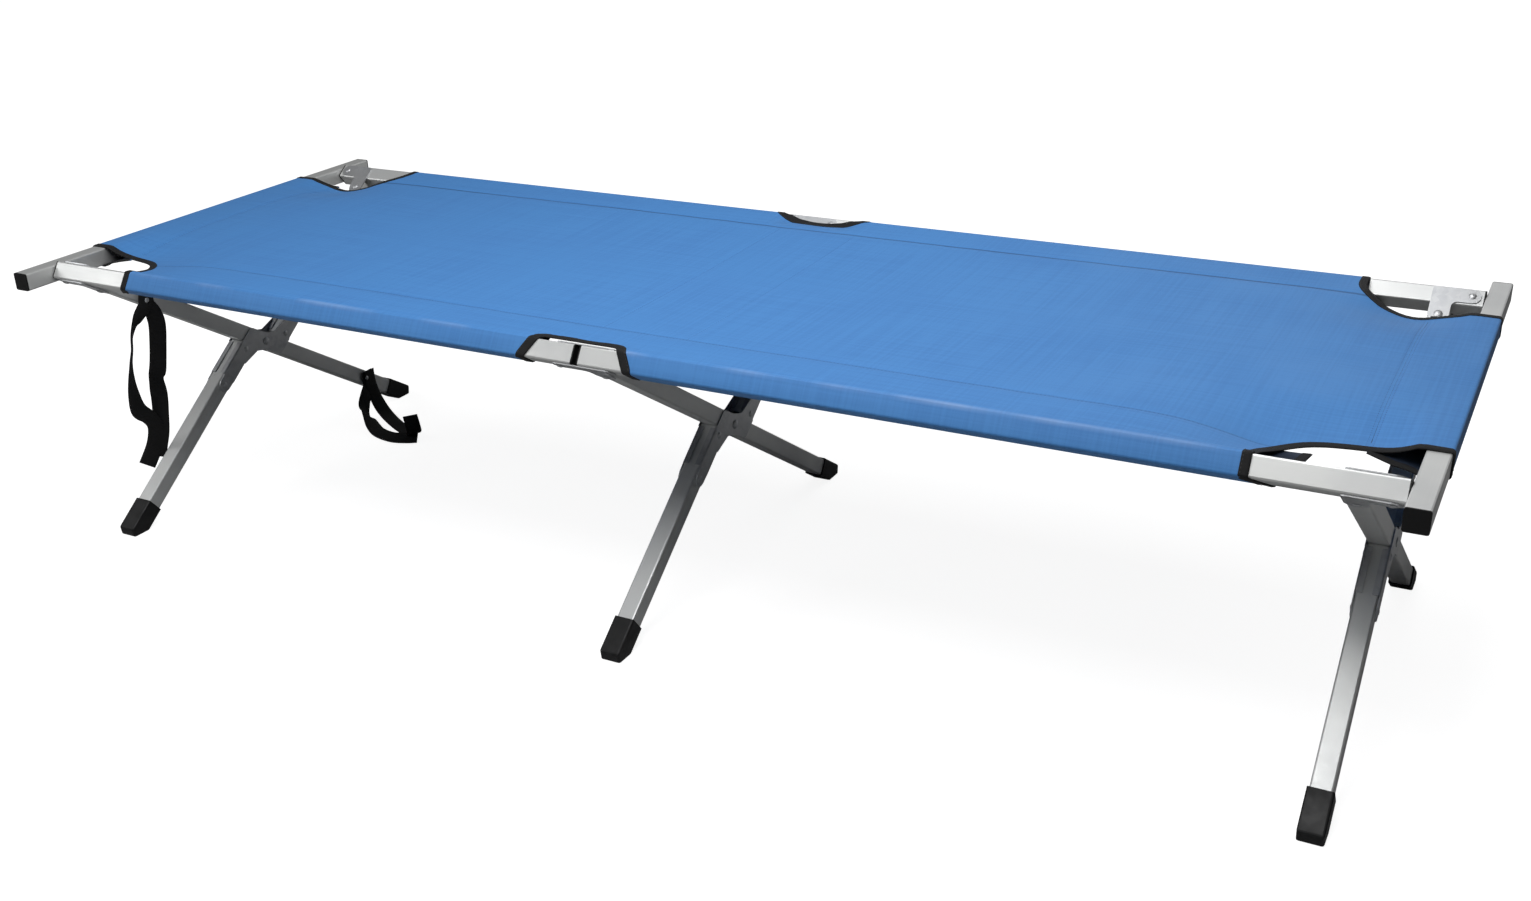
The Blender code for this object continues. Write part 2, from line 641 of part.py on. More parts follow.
def bed_side(half_width, half_length, cut_x):
    """The far side of the bed cloth's outline, from the right end to the left, with its middle cut-out at cut_x."""
    corner = CORNER_CUT_RADIUS
    inside = RAIL_SPACING / 2 - MIDDLE_CUT_INSIDE
    end = [(half_length, HEM_HALF_WIDTH)]
    end += arc((SLEEVE_END + corner, HEM_HALF_WIDTH + corner), corner, 270, 180)
    end += [(SLEEVE_END, half_width)]
    cut = [(MIDDLE_CUT_HALF, half_width)] + arc((MIDDLE_CUT_TOP, half_width), half_width - inside, 0, -90, 4)
    right = [(cut_x + x, y) for x, y in cut]
    left = [(cut_x - x, y) for x, y in reversed(cut)]
    return end + right + left + [(-x, y) for x, y in reversed(end)]


def bed_outline(half_width, half_length):
    """The bed cloth seen from above, with its corner and middle cut-outs."""
    near = bed_side(half_width, half_length, MIDDLE_CUTS[-1])
    return bed_side(half_width, half_length, MIDDLE_CUTS[1]) + [(x, -y) for x, y in reversed(near)]


def add_bed(near, far, body):
    """The fabric bed: one sheet with a sleeve for each rail half and a hem round each end bar."""
    low, high = bed_levels()
    paths = {1: sleeve_path(far, 1), -1: sleeve_path(near, -1)}
    half_width = min(abs(path[1][0]) for path in paths.values())
    drop_start = BAR_X - HALF_TUBE - HEM_SLOPE
    mesh = outline_mesh("sheet", [bed_outline(half_width, drop_start)], low, high, "Z")
    bed = add_part("bed_fabric", mesh, body, (0.0, 0.0, 0.0), CLOTH_BLUE)
    for outward, path in paths.items():
        outline = band(fillet_path(path, SLEEVE_CLOTH * 0.8, 1), SLEEVE_CLOTH)
        for sign in (-1, 1):
            cut_end = MIDDLE_CUTS[outward] + sign * (MIDDLE_CUT_HALF + EDGE_INSET)
            run = sorted((cut_end, sign * (SLEEVE_END - EDGE_INSET)))
            use_tool(bed, outline_mesh("sleeve", [outline], run[0], run[1], "X"), "UNION")
    reach = HALF_TUBE + CLEARANCE + SLEEVE_CLOTH / 2
    level = (low + high) / 2
    for sign in (-1, 1):
        outer, inner = sign * (BAR_X + reach), sign * (BAR_X - reach)
        top, bottom = RAIL_HEIGHT + reach, RAIL_HEIGHT - reach
        seam = (sign * (BAR_X - HEM_SEAM), level)
        path = [(sign * (drop_start - SHEET_OVERLAP), level), (sign * drop_start, level)]
        path += [(outer, top), (outer, bottom), (inner, bottom), seam]
        outline = band(fillet_path(path, SLEEVE_CLOTH * 0.8, 1), SLEEVE_CLOTH)
        hem_end = HEM_HALF_WIDTH - EDGE_INSET
        hem = outline_mesh("hem", [outline], -hem_end, hem_end, "Y")
        use_tool(bed, hem, "UNION")
    return bed


def smooth_route(points, steps):
    """A smooth curve through a short list of points."""
    ends = [points[0]] + list(points) + [points[-1]]
    route = []
    for a, b, c, d in zip(ends, ends[1:], ends[2:], ends[3:]):
        a, b, c, d = Vector(a), Vector(b), Vector(c), Vector(d)
        for step in range(steps):
            t = step / steps
            route.append(0.5 * (2 * b + (c - a) * t + (2 * a - 5 * b + 4 * c - d) * t * t
                                + (3 * b - a - 3 * c + d) * t ** 3))
    route.append(Vector(points[-1]))
    return route


def ribbon_mesh(stations, hang):
    """One run of webbing through stations of place, in shares of its hang, and of face azimuth and tilt."""
    knots = []
    for x, y, z, turn, tilt in stations:
        knots.append((x * hang, y * hang, z * hang, math.radians(turn), math.radians(tilt)))
    route = smooth_route(knots, ROUTE_STEPS)
    work = bmesh.new()
    bmesh.ops.create_grid(work, x_segments=1, y_segments=len(route) - 1, size=1.0)
    rows = sorted(work.verts, key=lambda vertex: (round(vertex.co.y, 4), vertex.co.x))
    for index, vertex in enumerate(rows):
        row = index // 2
        place = Vector(route[row][:3])
        turn, tilt = route[row][3:]
        tangent = Vector(route[min(row + 1, len(route) - 1)][:3]) - Vector(route[max(row - 1, 0)][:3])
        face = Vector((math.cos(turn) * math.cos(tilt), math.sin(turn) * math.cos(tilt), math.sin(tilt)))
        width = tangent.cross(face).normalized() * WEBBING_WIDTH / 2
        vertex.co = place + width * (1 if index % 2 else -1)
    mesh = bpy.data.meshes.new("ribbon")
    work.to_mesh(mesh)
    work.free()
    return mesh


def thicken(ribbon):
    """Give a ribbon the thickness of the webbing."""
    solid = ribbon.modifiers.new("thickness", "SOLIDIFY")
    solid.thickness = WEBBING
    solid.offset = 0.0


def add_strap(name, body, leg, plane, rivet, hang, under, over):
    """A strap of two runs of webbing riveted to the side of a leg.

    The rivet is at an along and offset of the leg, and the stations start from it in shares of the strap's hang.
    """
    origin = Vector((HALF_TUBE + STRAP_STANDOFF - STATION_SPACING, *plane.to_world(*rivet)))
    strap = add_part(name, ribbon_mesh(under, hang), body, origin, BLACK_WEBBING)
    thicken(strap)
    thicken(use_tool(strap, ribbon_mesh(over, hang), "UNION", (STRAP_LAYER, 0.0, 0.0)))
    top = STRAP_LAYER + WEBBING / 2 - CLEARANCE
    tail = -STRAP_STANDOFF - TUBE_WALL - CLEARANCE
    head, stem = STRAP_RIVET_HEAD, STRAP_RIVET_RADIUS
    profile = [(0.0, top + HEAD_RISE), (head * 0.6, top + HEAD_RISE * 0.8), (head, top + HEAD_RISE * 0.3)]
    profile += [(head, top), (stem, top), (stem, tail), (head * 0.8, tail), (head * 0.6, tail - HEAD_RISE)]
    profile += [(0.0, tail - HEAD_RISE)]
    use_tool(strap, turned_mesh("rivet", profile, "X"), "UNION")
    hole = outline_mesh("drill", [circle((0.0, 0.0), hole_radius(stem))], TUBE * 0.4, TUBE, "X")
    use_tool(leg, hole, "DIFFERENCE", (0.0, *rivet))
    return strap


def add_empty(name, parent, location, roll=0.0):
    """An empty that stands for a body or a leg plane."""
    empty = bpy.data.objects.new(name, None)
    empty.empty_display_size = 0.05
    empty.parent = parent
    empty.location = location
    empty.rotation_euler = (roll, 0.0, 0.0)
    PARTS.objects.link(empty)
    return empty


def main():
    """Build the cot open, standing on its six feet."""
    pivot = (0.0, 0.0, PIVOT_HEIGHT)
    near_frame = add_empty("near_frame", None, (0.0, 0.0, 0.0))
    far_frame = add_empty("far_frame", None, pivot)
    near = LegPlane(
        empty=add_empty("near_plane", near_frame, pivot, -STRAIGHT_ANGLE),
        angle=-STRAIGHT_ANGLE,
        inward=1,
        rail_along=-UPPER_REACH,
        rail_offset=0.0,
        foot_offset=0.0,
        foot_sign=1,
    )
    far = LegPlane(
        empty=add_empty("far_plane", far_frame, (0.0, 0.0, 0.0), JOG_ANGLE),
        angle=JOG_ANGLE,
        inward=-1,
        rail_along=JOG_REACH,
        rail_offset=-LEG_JOG,
        foot_offset=LEG_JOG,
        foot_sign=-1,
    )
    legs = {}
    for side, plane in zip(SIDES, (near, far)):
        add_rail(plane, side)
        for station, x in STATIONS.items():
            add_tee_plates(plane, side, station, x)
    for station, x in STATIONS.items():
        legs[station] = add_straight_leg(near, station, x)
        add_foot_cap(near, "far", station, x)
        add_jogged_leg(far, station, x)
        add_foot_cap(far, "near", station, x)
    for end, sign in ENDS.items():
        add_end_bar(add_empty(f"{end}_bar", None, (0.0, 0.0, 0.0)), end, sign)
    add_bed(near, far, near_frame)
    upper_along = near.rail_along + near.inward * UPPER_STRAP_DROP
    add_strap(
        "webbing_strap_upper", near_frame, legs["left"], near, (upper_along, UPPER_STRAP_OFFSET), UPPER_STRAP_HANG,
        under=(
            (0, 0.008, 0.038, 0, 0), (0, 0.008, -0.034, 0, 0), (0.004, 0.03, -0.083, -15, 0),
            (0.008, 0.038, -0.155, -40, 0), (0, 0.025, -0.272, -55, 0), (-0.023, 0.013, -0.411, -52, 0),
            (-0.038, -0.002, -0.487, -10, 0), (-0.057, 0.013, -0.592, -45, 0),
            (-0.083, 0.021, -0.706, -58, 0), (-0.113, 0.026, -0.823, -58, 0),
            (-0.143, 0.019, -0.917, -55, 0), (-0.158, 0.004, -0.989, -50, 0),
        ),
        over=(
            (0, -0.004, 0.034, 0, 0), (0, -0.019, -0.023, 2, 0), (0.004, -0.064, -0.057, 5, 0),
            (0.011, -0.117, -0.094, 25, 0), (0.015, -0.158, -0.162, 30, 0),
            (0.008, -0.17, -0.242, 28, 0), (0, -0.189, -0.321, 12, 0), (-0.019, -0.192, -0.411, -8, 0),
            (-0.045, -0.177, -0.509, -12, 0), (-0.083, -0.132, -0.63, -28, -8),
            (-0.117, -0.038, -0.725, -48, -12), (-0.14, 0.008, -0.808, -58, 0),
            (-0.174, 0.004, -0.921, -55, 0), (-0.189, -0.064, -1.026, -42, 0),
        ),
    )
    lower_along = leg_foot_end(near) - near.foot_sign * LOWER_STRAP_RISE
    to_ground = near.to_world(lower_along, LOWER_STRAP_OFFSET)[1]
    add_strap(
        "webbing_strap_lower", near_frame, legs["left"], near, (lower_along, LOWER_STRAP_OFFSET), to_ground,
        under=(
            (0, 0.043, 0.172, 0, 0), (0, 0.043, -0.186, 0, 0), (0.043, -0.129, -0.416, -12, 0),
            (0.086, -0.287, -0.617, -12, 5), (0.186, -0.387, -0.789, 15, 20),
            (0.43, -0.531, -0.855, 50, 50), (0.789, -0.803, -0.945, 60, 80),
            (1.162, -1.018, -0.981, 60, 90), (1.649, -1.119, -0.981, 60, 90),
            (2.022, -1.018, -0.981, 60, 90), (2.252, -0.889, -0.975, 60, 90),
        ),
        over=(
            (0, 0.115, 0.172, 0, 0), (0, 0.129, -0.143, 0, 0), (0.043, 0.143, -0.445, -8, 5),
            (0.258, 0.086, -0.746, -20, 35), (0.602, -0.057, -0.918, -27, 75),
            (1.162, -0.373, -0.947, -27, 90), (1.606, -0.602, -0.941, -27, 90),
            (1.965, -0.775, -0.911, -27, 100), (2.151, -0.889, -0.789, -35, 140),
            (2.194, -0.961, -0.574, -48, 168), (2.166, -0.99, -0.301, -58, 178),
        ),
    )


main()
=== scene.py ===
"""Looks of the folding camping cot: its stretched cloth bed, webbing straps, finishes, studio and camera."""

import json
import logging
import math
from collections.abc import Callable, Sequence
from dataclasses import dataclass, field
from enum import Enum

import bpy
import numpy as np
from mathutils import Matrix, Vector, noise
from mathutils.geometry import delaunay_2d_cdt


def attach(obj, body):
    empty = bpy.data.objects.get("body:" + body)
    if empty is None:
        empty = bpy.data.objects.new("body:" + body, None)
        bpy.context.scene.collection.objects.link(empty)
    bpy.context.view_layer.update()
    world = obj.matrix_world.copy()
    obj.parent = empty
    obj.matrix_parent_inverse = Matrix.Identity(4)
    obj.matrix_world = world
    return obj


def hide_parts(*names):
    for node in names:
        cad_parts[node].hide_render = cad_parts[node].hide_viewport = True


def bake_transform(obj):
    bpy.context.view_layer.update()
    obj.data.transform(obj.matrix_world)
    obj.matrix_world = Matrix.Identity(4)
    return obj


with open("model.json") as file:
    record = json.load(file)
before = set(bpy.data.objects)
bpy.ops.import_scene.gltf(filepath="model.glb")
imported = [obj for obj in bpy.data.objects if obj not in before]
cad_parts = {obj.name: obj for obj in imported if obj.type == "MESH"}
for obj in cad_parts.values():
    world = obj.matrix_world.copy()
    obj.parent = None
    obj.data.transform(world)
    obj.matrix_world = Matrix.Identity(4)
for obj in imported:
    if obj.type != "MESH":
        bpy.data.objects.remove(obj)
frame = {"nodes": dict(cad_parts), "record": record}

LOG = logging.getLogger("camping_cot")
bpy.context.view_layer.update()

Point2 = tuple[float, float]
Point3 = tuple[float, float, float]
Colour = tuple[float, float, float]
Faces = list[tuple[int, ...]]
Material = bpy.types.Material
Mesh = bpy.types.Mesh
Piece = bpy.types.Object
Socket = bpy.types.NodeSocket


class Body(Enum):
    """The moving bodies that a piece can ride on."""

    NEAR_FRAME = "near_frame"
    FAR_FRAME = "far_frame"


class Slot(Enum):
    """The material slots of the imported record."""

    TUBE = "tube"
    PLATED_STEEL = "plated_steel"
    BLACK_PLASTIC = "black_plastic"
    CLOTH = "cloth"
    WEBBING = "webbing"


class Run(Enum):
    """Which way a tube's drawn grain runs, as the tilt of the tube from Y towards Z, or None along X."""

    ALONG_X = None
    ALONG_Y = 0.0
    STRAIGHT_LEG = -33.12
    JOGGED_LEG = 37.53


# Finishes


class NodeWork:
    """Short calls for laying out the nodes of one material or world."""

    def __init__(self, owner: Material | bpy.types.World) -> None:
        """Turn on the owner's nodes and find its shader.

        Args:
            owner: a new material or world.
        """
        owner.use_nodes = True
        self.nodes = owner.node_tree.nodes
        self.links = owner.node_tree.links
        self.shader = next(node for node in self.nodes if node.type in ("BSDF_PRINCIPLED", "BACKGROUND"))

    def add(self, kind: str, **inputs: object) -> bpy.types.Node:
        """Add a node and set its inputs, or link them when they are sockets.

        Args:
            kind: the node's type without its ShaderNode prefix.
            inputs: values or sockets by input name, with _ for a space.

        Returns:
            The new node.
        """
        node = self.nodes.new(f"ShaderNode{kind}")
        self.feed(node, **inputs)
        return node

    def feed(self, node: bpy.types.Node, **inputs: object) -> None:
        """Set a node's inputs, or link them when they are sockets."""
        for key, value in inputs.items():
            self.join(node.inputs[key.replace("_", " ")], value)

    def join(self, socket: Socket, value: object) -> None:
        """Set an input, or link it when the value is a socket.

        Args:
            socket: the input.
            value: its value or the socket that feeds it.
        """
        if isinstance(value, Socket):
            self.links.new(value, socket)
        else:
            socket.default_value = value

    def math(self, operation: str, *values: object, clamp: bool = False) -> Socket:
        """Add a Math node.

        Args:
            operation: the node's operation.
            values: its inputs, as numbers or sockets.
            clamp: whether the result stays from 0 to 1.

        Returns:
            The result's socket.
        """
        node = self.nodes.new("ShaderNodeMath")
        node.operation = operation
        node.use_clamp = clamp
        for socket, value in zip(node.inputs, values):
            self.join(socket, value)
        return node.outputs[0]

    def coordinates(self, source: str, scale: Point3 = (1.0, 1.0, 1.0), turn: float = 0.0) -> Socket:
        """Texture coordinates, turned and scaled.

        Args:
            source: Object or UV.
            scale: scale along each axis, after the turn.
            turn: rotation about X in degrees.

        Returns:
            The coordinates' socket.
        """
        place = self.nodes.new("ShaderNodeTexCoord").outputs[source]
        if turn:
            spin = self.add("VectorRotate", Vector=place)
            spin.rotation_type = "EULER_XYZ"
            spin.inputs["Rotation"].default_value = (math.radians(turn), 0.0, 0.0)
            place = spin.outputs[0]
        return self.add("Mapping", Vector=place, Scale=scale).outputs[0]

    def noise(self, vector: Socket, scale: float, detail: float) -> Socket:
        """Noise between about 0.3 and 0.7."""
        return self.add("TexNoise", Vector=vector, Scale=scale, Detail=detail).outputs["Fac"]

    def spread(self, value: Socket, low: float, high: float, start: float = 0.35, end: float = 0.65) -> Socket:
        """Spread a value out between two results.

        Args:
            value: a value, often noise.
            low: the result where it is at the start or less.
            high: the result where it is at the end or more.
            start: where it starts to rise.
            end: where it stops.

        Returns:
            The result's socket.
        """
        ramp = self.add("MapRange", Value=value, From_Min=start, From_Max=end, To_Min=low, To_Max=high)
        return ramp.outputs[0]

    def blend(self, share: Socket, first: object, second: object) -> Socket:
        """Mix two colours.

        Args:
            share: how much of the second.
            first: linear colour or socket.
            second: linear colour or socket.

        Returns:
            The colour's socket.
        """
        mix = self.nodes.new("ShaderNodeMix")
        mix.data_type = "RGBA"
        self.join(mix.inputs["Factor"], share)
        for socket, colour in zip((one for one in mix.inputs if one.type == "RGBA"), (first, second)):
            self.join(socket, colour if isinstance(colour, Socket) else (*colour, 1.0))
        return next(one for one in mix.outputs if one.type == "RGBA")

    def band(self, value: Socket, centre: float, reach: float, top: float) -> Socket:
        """A band of 1 about a value's centre, that fades out to both sides.

        Args:
            value: the value.
            centre: where the band lies.
            reach: how far the fade takes to fall by 1.
            top: its unclamped height at the centre.

        Returns:
            The band's socket, from 0 to 1.
        """
        off = self.math("ABSOLUTE", self.math("SUBTRACT", value, centre))
        return self.math("SUBTRACT", top, self.math("DIVIDE", off, reach), clamp=True)

    def bump(self, height: Socket, distance: float, strength: float) -> None:
        """Add relief to the shader, over any that it has.

        Args:
            height: the relief's height from 0 to 1.
            distance: how high that is, in metres.
            strength: how strongly it shows.
        """
        node = self.add("Bump", Height=height, Distance=distance, Strength=strength)
        if self.shader.inputs["Normal"].links:
            self.links.new(self.shader.inputs["Normal"].links[0].from_socket, node.inputs["Normal"])
        self.links.new(node.outputs[0], self.shader.inputs["Normal"])

    def seen(self) -> Socket:
        """1 where a camera or transmission ray looks, and 0 for the light that falls on things."""
        path = self.nodes.new("ShaderNodeLightPath")
        return self.math("MAXIMUM", path.outputs["Is Camera Ray"], path.outputs["Is Transmission Ray"])


class Finish:
    """A material that is laid out with nodes."""

    name: str

    def make(self) -> Material:
        """Make the material.

        Returns:
            The finished material.
        """
        material = bpy.data.materials.new(self.name)
        self.lay(NodeWork(material))
        return material

    def lay(self, work: NodeWork) -> None:
        """Each finish lays out its own nodes."""
        raise NotImplementedError


@dataclass(frozen=True)
class DrawnTube(Finish):
    """Satin silver coating over drawn aluminium tube, with fine grain along it and faint rubbing."""

    name: str
    run: Run
    colour: Colour = (0.70, 0.71, 0.70)
    wear_and_highlight: Colour = (0.62, 0.63, 0.63)

    def lay(self, work: NodeWork) -> None:
        """Lay out the nodes.

        Args:
            work: the new material's nodes.
        """
        along, around = 3.0, 420.0
        grain = (along, around, around) if self.run is Run.ALONG_X else (around, along, around)
        lines = work.noise(work.coordinates("Object", grain, self.run.value or 0.0), 2.0, 3.0)
        cloud = work.noise(work.coordinates("Object"), 9.0, 4.0)
        specks = work.noise(work.coordinates("Object"), 900.0, 1.0)
        work.feed(
            work.shader,
            Base_Color=work.blend(work.spread(cloud, 0.0, 1.0), self.colour, self.wear_and_highlight),
            Roughness=work.math("ADD", work.spread(lines, 0.40, 0.48), work.spread(cloud, -0.03, 0.03)),
            Metallic=0.55,
        )
        work.bump(lines, 0.00004, 0.5)
        work.bump(specks, 0.00003, 0.35)


@dataclass(frozen=True)
class PlatedSheet(Finish):
    """Zinc-plated steel sheet and rivets, a little duller and bluer than the tube, with a faint spangle."""

    name: str = "plated_sheet"
    colour: Colour = (0.56, 0.57, 0.58)
    shade: Colour = (0.46, 0.47, 0.49)

    def lay(self, work: NodeWork) -> None:
        """Lay out the nodes.

        Args:
            work: the new material's nodes.
        """
        place = work.coordinates("Object")
        cells = work.add("TexVoronoi", Vector=place, Scale=160.0).outputs["Color"]
        spangle = work.math("ADD", work.add("SeparateColor", Color=cells).outputs[0], 0.3)
        cloud = work.noise(place, 30.0, 3.0)
        share = work.math("MULTIPLY", work.spread(cloud, 0.1, 0.9), spangle, clamp=True)
        work.feed(
            work.shader,
            Base_Color=work.blend(share, self.colour, self.shade),
            Roughness=work.spread(cloud, 0.33, 0.45),
            Metallic=0.68,
        )
        work.bump(work.noise(place, 700.0, 2.0), 0.00004, 0.5)


@dataclass(frozen=True)
class MouldedPlastic(Finish):
    """Black moulded plastic with a fine spark-eroded grain and paler rubbed patches low down."""

    name: str = "moulded_plastic"
    colour: Colour = (0.0045, 0.0045, 0.0050)
    rubbed: Colour = (0.016, 0.016, 0.017)

    def lay(self, work: NodeWork) -> None:
        """Lay out the nodes.

        Args:
            work: the new material's nodes.
        """
        place = work.coordinates("Object")
        height = work.add("SeparateXYZ", Vector=place).outputs["Z"]
        low = work.math("SUBTRACT", 1.0, work.math("MULTIPLY", height, 25.0), clamp=True)
        scuff = work.math("MULTIPLY", low, work.spread(work.noise(place, 120.0, 4.0), 0.0, 1.0), clamp=True)
        work.feed(
            work.shader,
            Base_Color=work.blend(scuff, self.colour, self.rubbed),
            Roughness=work.spread(work.noise(place, 60.0, 2.0), 0.42, 0.56),
            Specular_IOR_Level=0.30,
        )
        work.bump(work.noise(place, 1500.0, 1.0), 0.00008, 0.5)


@dataclass(frozen=True)
class OxfordCloth(Finish):
    """Coated polyester in a basket weave, read from the cloth's own flat measures."""

    name: str
    colour: Colour = (0.062, 0.232, 0.562)
    deep: Colour = (0.052, 0.199, 0.505)
    threads_per_metre: float = 1100.0
    seam: float = 0.240
    fold: float = -0.3086

    def lay(self, work: NodeWork) -> None:
        """Lay out the nodes.

        Args:
            work: the new material's nodes.
        """
        flat = work.coordinates("UV")
        split = work.add("SeparateXYZ", Vector=flat)
        across = split.outputs["Y"]
        turn = math.pi * self.threads_per_metre
        warp, weft = (work.math("SINE", work.math("MULTIPLY", split.outputs[axis], turn)) for axis in "XY")
        weave = work.math("MULTIPLY_ADD", work.math("MULTIPLY", warp, weft), 0.5, 0.5)
        slub = work.noise(work.coordinates("UV", (4.0, 300.0, 1.0)), 1.0, 3.0)
        cross = work.noise(work.coordinates("UV", (300.0, 4.0, 1.0)), 1.0, 3.0)
        cloud = work.noise(flat, 6.0, 3.0)
        share = work.math("ADD", work.spread(slub, -0.2, 0.5), work.spread(cross, -0.2, 0.5))
        share = work.math("ADD", share, work.spread(cloud, -0.2, 0.3), clamp=True)
        # Painted highlight: a paler, patchy line along the near fold over the rail's crest stands in for the
        # light that the crease catches.
        wear_and_highlight = work.math("MULTIPLY", work.band(across, self.fold, 0.0060, 1.0), work.spread(cloud, -0.25, 0.45))
        paler = tuple(1.0 - 0.72 * (1.0 - one) for one in self.colour)
        fold_highlighted = work.blend(wear_and_highlight, work.blend(share, self.colour, self.deep), paler)
        # Painted shade: a dark line along both sleeve seams, fainter on the near side, stands in for the shadow
        # in each seam's tuck.
        line = work.band(work.math("ABSOLUTE", across), self.seam, 0.0026, 1.25)
        line = work.math("MULTIPLY", line, work.spread(across, 0.35, 1.0, -0.01, 0.01))
        sewn = work.math("MULTIPLY", line, work.spread(slub, 0.55, 0.85))
        work.feed(
            work.shader,
            Base_Color=work.blend(sewn, fold_highlighted, tuple(0.28 * one for one in self.deep)),
            Roughness=work.spread(cloud, 0.58, 0.68),
            Sheen_Weight=0.18,
            Sheen_Roughness=0.45,
            Sheen_Tint=(0.55, 0.72, 1.0, 1.0),
            Specular_IOR_Level=0.35,
        )
        work.bump(weave, 0.00012, 0.55)
        work.bump(slub, 0.00012, 0.4)
        work.bump(work.noise(flat, 40.0, 2.0), 0.0006, 0.25)


@dataclass(frozen=True)
class WovenTape(Finish):
    """Black woven tape: ribs across it, a selvedge and a slight sheen."""

    name: str
    ribs_per_metre: float
    rows_per_metre: float
    colour: Colour = (0.0050, 0.0050, 0.0055)
    lit: Colour = (0.013, 0.013, 0.014)

    def lay(self, work: NodeWork) -> None:
        """Lay out the nodes.

        Args:
            work: the new material's nodes.
        """
        flat = work.coordinates("UV")
        split = work.add("SeparateXYZ", Vector=flat)
        turn = 2.0 * math.pi
        rows = work.math("SINE", work.math("MULTIPLY", split.outputs["Y"], turn * self.rows_per_metre))
        lean = work.math("ADD", work.math("MULTIPLY", split.outputs["X"], turn * self.ribs_per_metre), rows)
        ribs = work.math("MULTIPLY_ADD", work.math("SINE", lean), 0.5, 0.5)
        fuzz = work.noise(flat, 700.0, 2.0)
        share = work.math("MULTIPLY", ribs, work.spread(fuzz, 0.4, 1.0), clamp=True)
        work.feed(
            work.shader,
            Base_Color=work.blend(share, self.colour, self.lit),
            Roughness=work.spread(fuzz, 0.62, 0.8),
            Sheen_Weight=0.05,
            Specular_IOR_Level=0.25,
        )
        work.bump(ribs, 0.0003, 0.6)
        work.bump(fuzz, 0.0001, 0.5)


@dataclass(frozen=True)
class SewingThread(Finish):
    """Twisted sewing thread."""

    name: str
    colour: Colour
    twist: Colour

    def lay(self, work: NodeWork) -> None:
        """Lay out the nodes.

        Args:
            work: the new material's nodes.
        """
        strands = work.noise(work.coordinates("Object"), 1800.0, 1.0)
        work.feed(
            work.shader,
            Base_Color=work.blend(work.spread(strands, 0.0, 1.0), self.colour, self.twist),
            Roughness=work.spread(strands, 0.5, 0.7),
        )
        work.bump(strands, 0.0001, 0.6)


@dataclass(frozen=True)
class PaleFloor(Finish):
    """A pale floor that the camera sees as white, and that still takes the cot's shadow."""

    name: str = "studio_floor"
    white: float = 0.45
    lit: float = 0.89
    near: float = 0.6
    far: float = 1.9

    def lay(self, work: NodeWork) -> None:
        """Lay out the nodes, with a light of the floor's own that grows away from the cot.

        Args:
            work: the new material's nodes.
        """
        pale, white = (self.white, self.white, self.white, 1.0), (1.0, 1.0, 1.0, 1.0)
        work.feed(work.shader, Base_Color=pale, Roughness=0.9, Specular_IOR_Level=0.1)
        away = work.add("VectorMath", Vector=work.coordinates("Object"))
        away.operation = "LENGTH"
        level = work.spread(away.outputs["Value"], self.lit, 1.0, self.near, self.far)
        glow = work.add("Emission", Color=white, Strength=work.math("MULTIPLY", work.seen(), level))
        both = work.nodes.new("ShaderNodeAddShader")
        output = next(node for node in work.nodes if node.type == "OUTPUT_MATERIAL")
        for start, socket in ((work.shader, both.inputs[0]), (glow, both.inputs[1]), (both, output.inputs[0])):
            work.links.new(start.outputs[0], socket)


# Shaping helpers


def new_piece(name: str, mesh: Mesh, material: Material, smooth: float = 40.0) -> Piece:
    """Put a mesh in the scene as a piece.

    Args:
        name: the piece's name.
        mesh: its mesh.
        material: its finish.
        smooth: edges below this angle in degrees are shaded smooth.

    Returns:
        The new object.
    """
    piece = bpy.data.objects.new(name, mesh)
    mesh.name = name
    mesh.materials.append(material)
    mesh.shade_smooth()
    mesh.set_sharp_from_angle(angle=math.radians(smooth))
    bpy.context.scene.collection.objects.link(piece)
    LOG.info("%s: %d faces", name, len(mesh.polygons))
    return piece


def mesh_of(points: Sequence[Point3], faces: Faces, flat: Sequence[Point2] | None = None) -> Mesh:
    """Make a mesh, with its flat measures as a UV map.

    Args:
        points: corner points.
        faces: indices of each face's corners.
        flat: each point's flat measures in metres.

    Returns:
        The new mesh.
    """
    mesh = bpy.data.meshes.new("piece")
    mesh.from_pydata([tuple(point) for point in points], [], [tuple(face) for face in faces])
    if flat is not None:
        layer = mesh.uv_layers.new(name="flat")
        corners = np.empty(len(mesh.loops), np.int32)
        mesh.loops.foreach_get("vertex_index", corners)
        layer.uv.foreach_set("vector", np.array(flat, np.float32)[corners].ravel())
    return mesh


def apply_modifiers(piece: Piece) -> None:
    """Bake a piece's modifiers into its mesh.

    Args:
        piece: the piece.
    """
    graph = bpy.context.evaluated_depsgraph_get()
    baked = bpy.data.meshes.new_from_object(piece.evaluated_get(graph), depsgraph=graph)
    old = piece.data
    piece.modifiers.clear()
    piece.data = baked
    baked.name = piece.name
    bpy.data.meshes.remove(old)


def curve_through(before: object, first: object, last: object, after: object, share: float) -> object:
    """A smooth curve between two numbers or vectors, given their neighbours and the share of the way."""
    curve = 2 * first + (last - before) * share + (2 * before - 5 * first + 4 * last - after) * share * share
    return (curve + (3 * first - before - 3 * last + after) * share**3) * 0.5


def smoothstep(value: float) -> float:
    """Ease from 0 to 1."""
    share = min(max(value, 0.0), 1.0)
    return share * share * (3.0 - 2.0 * share)


def side_of(value: float) -> int:
    """1 for the right end or the far side, and -1 for the left end or the near side."""
    return 1 if value >= 0.0 else -1


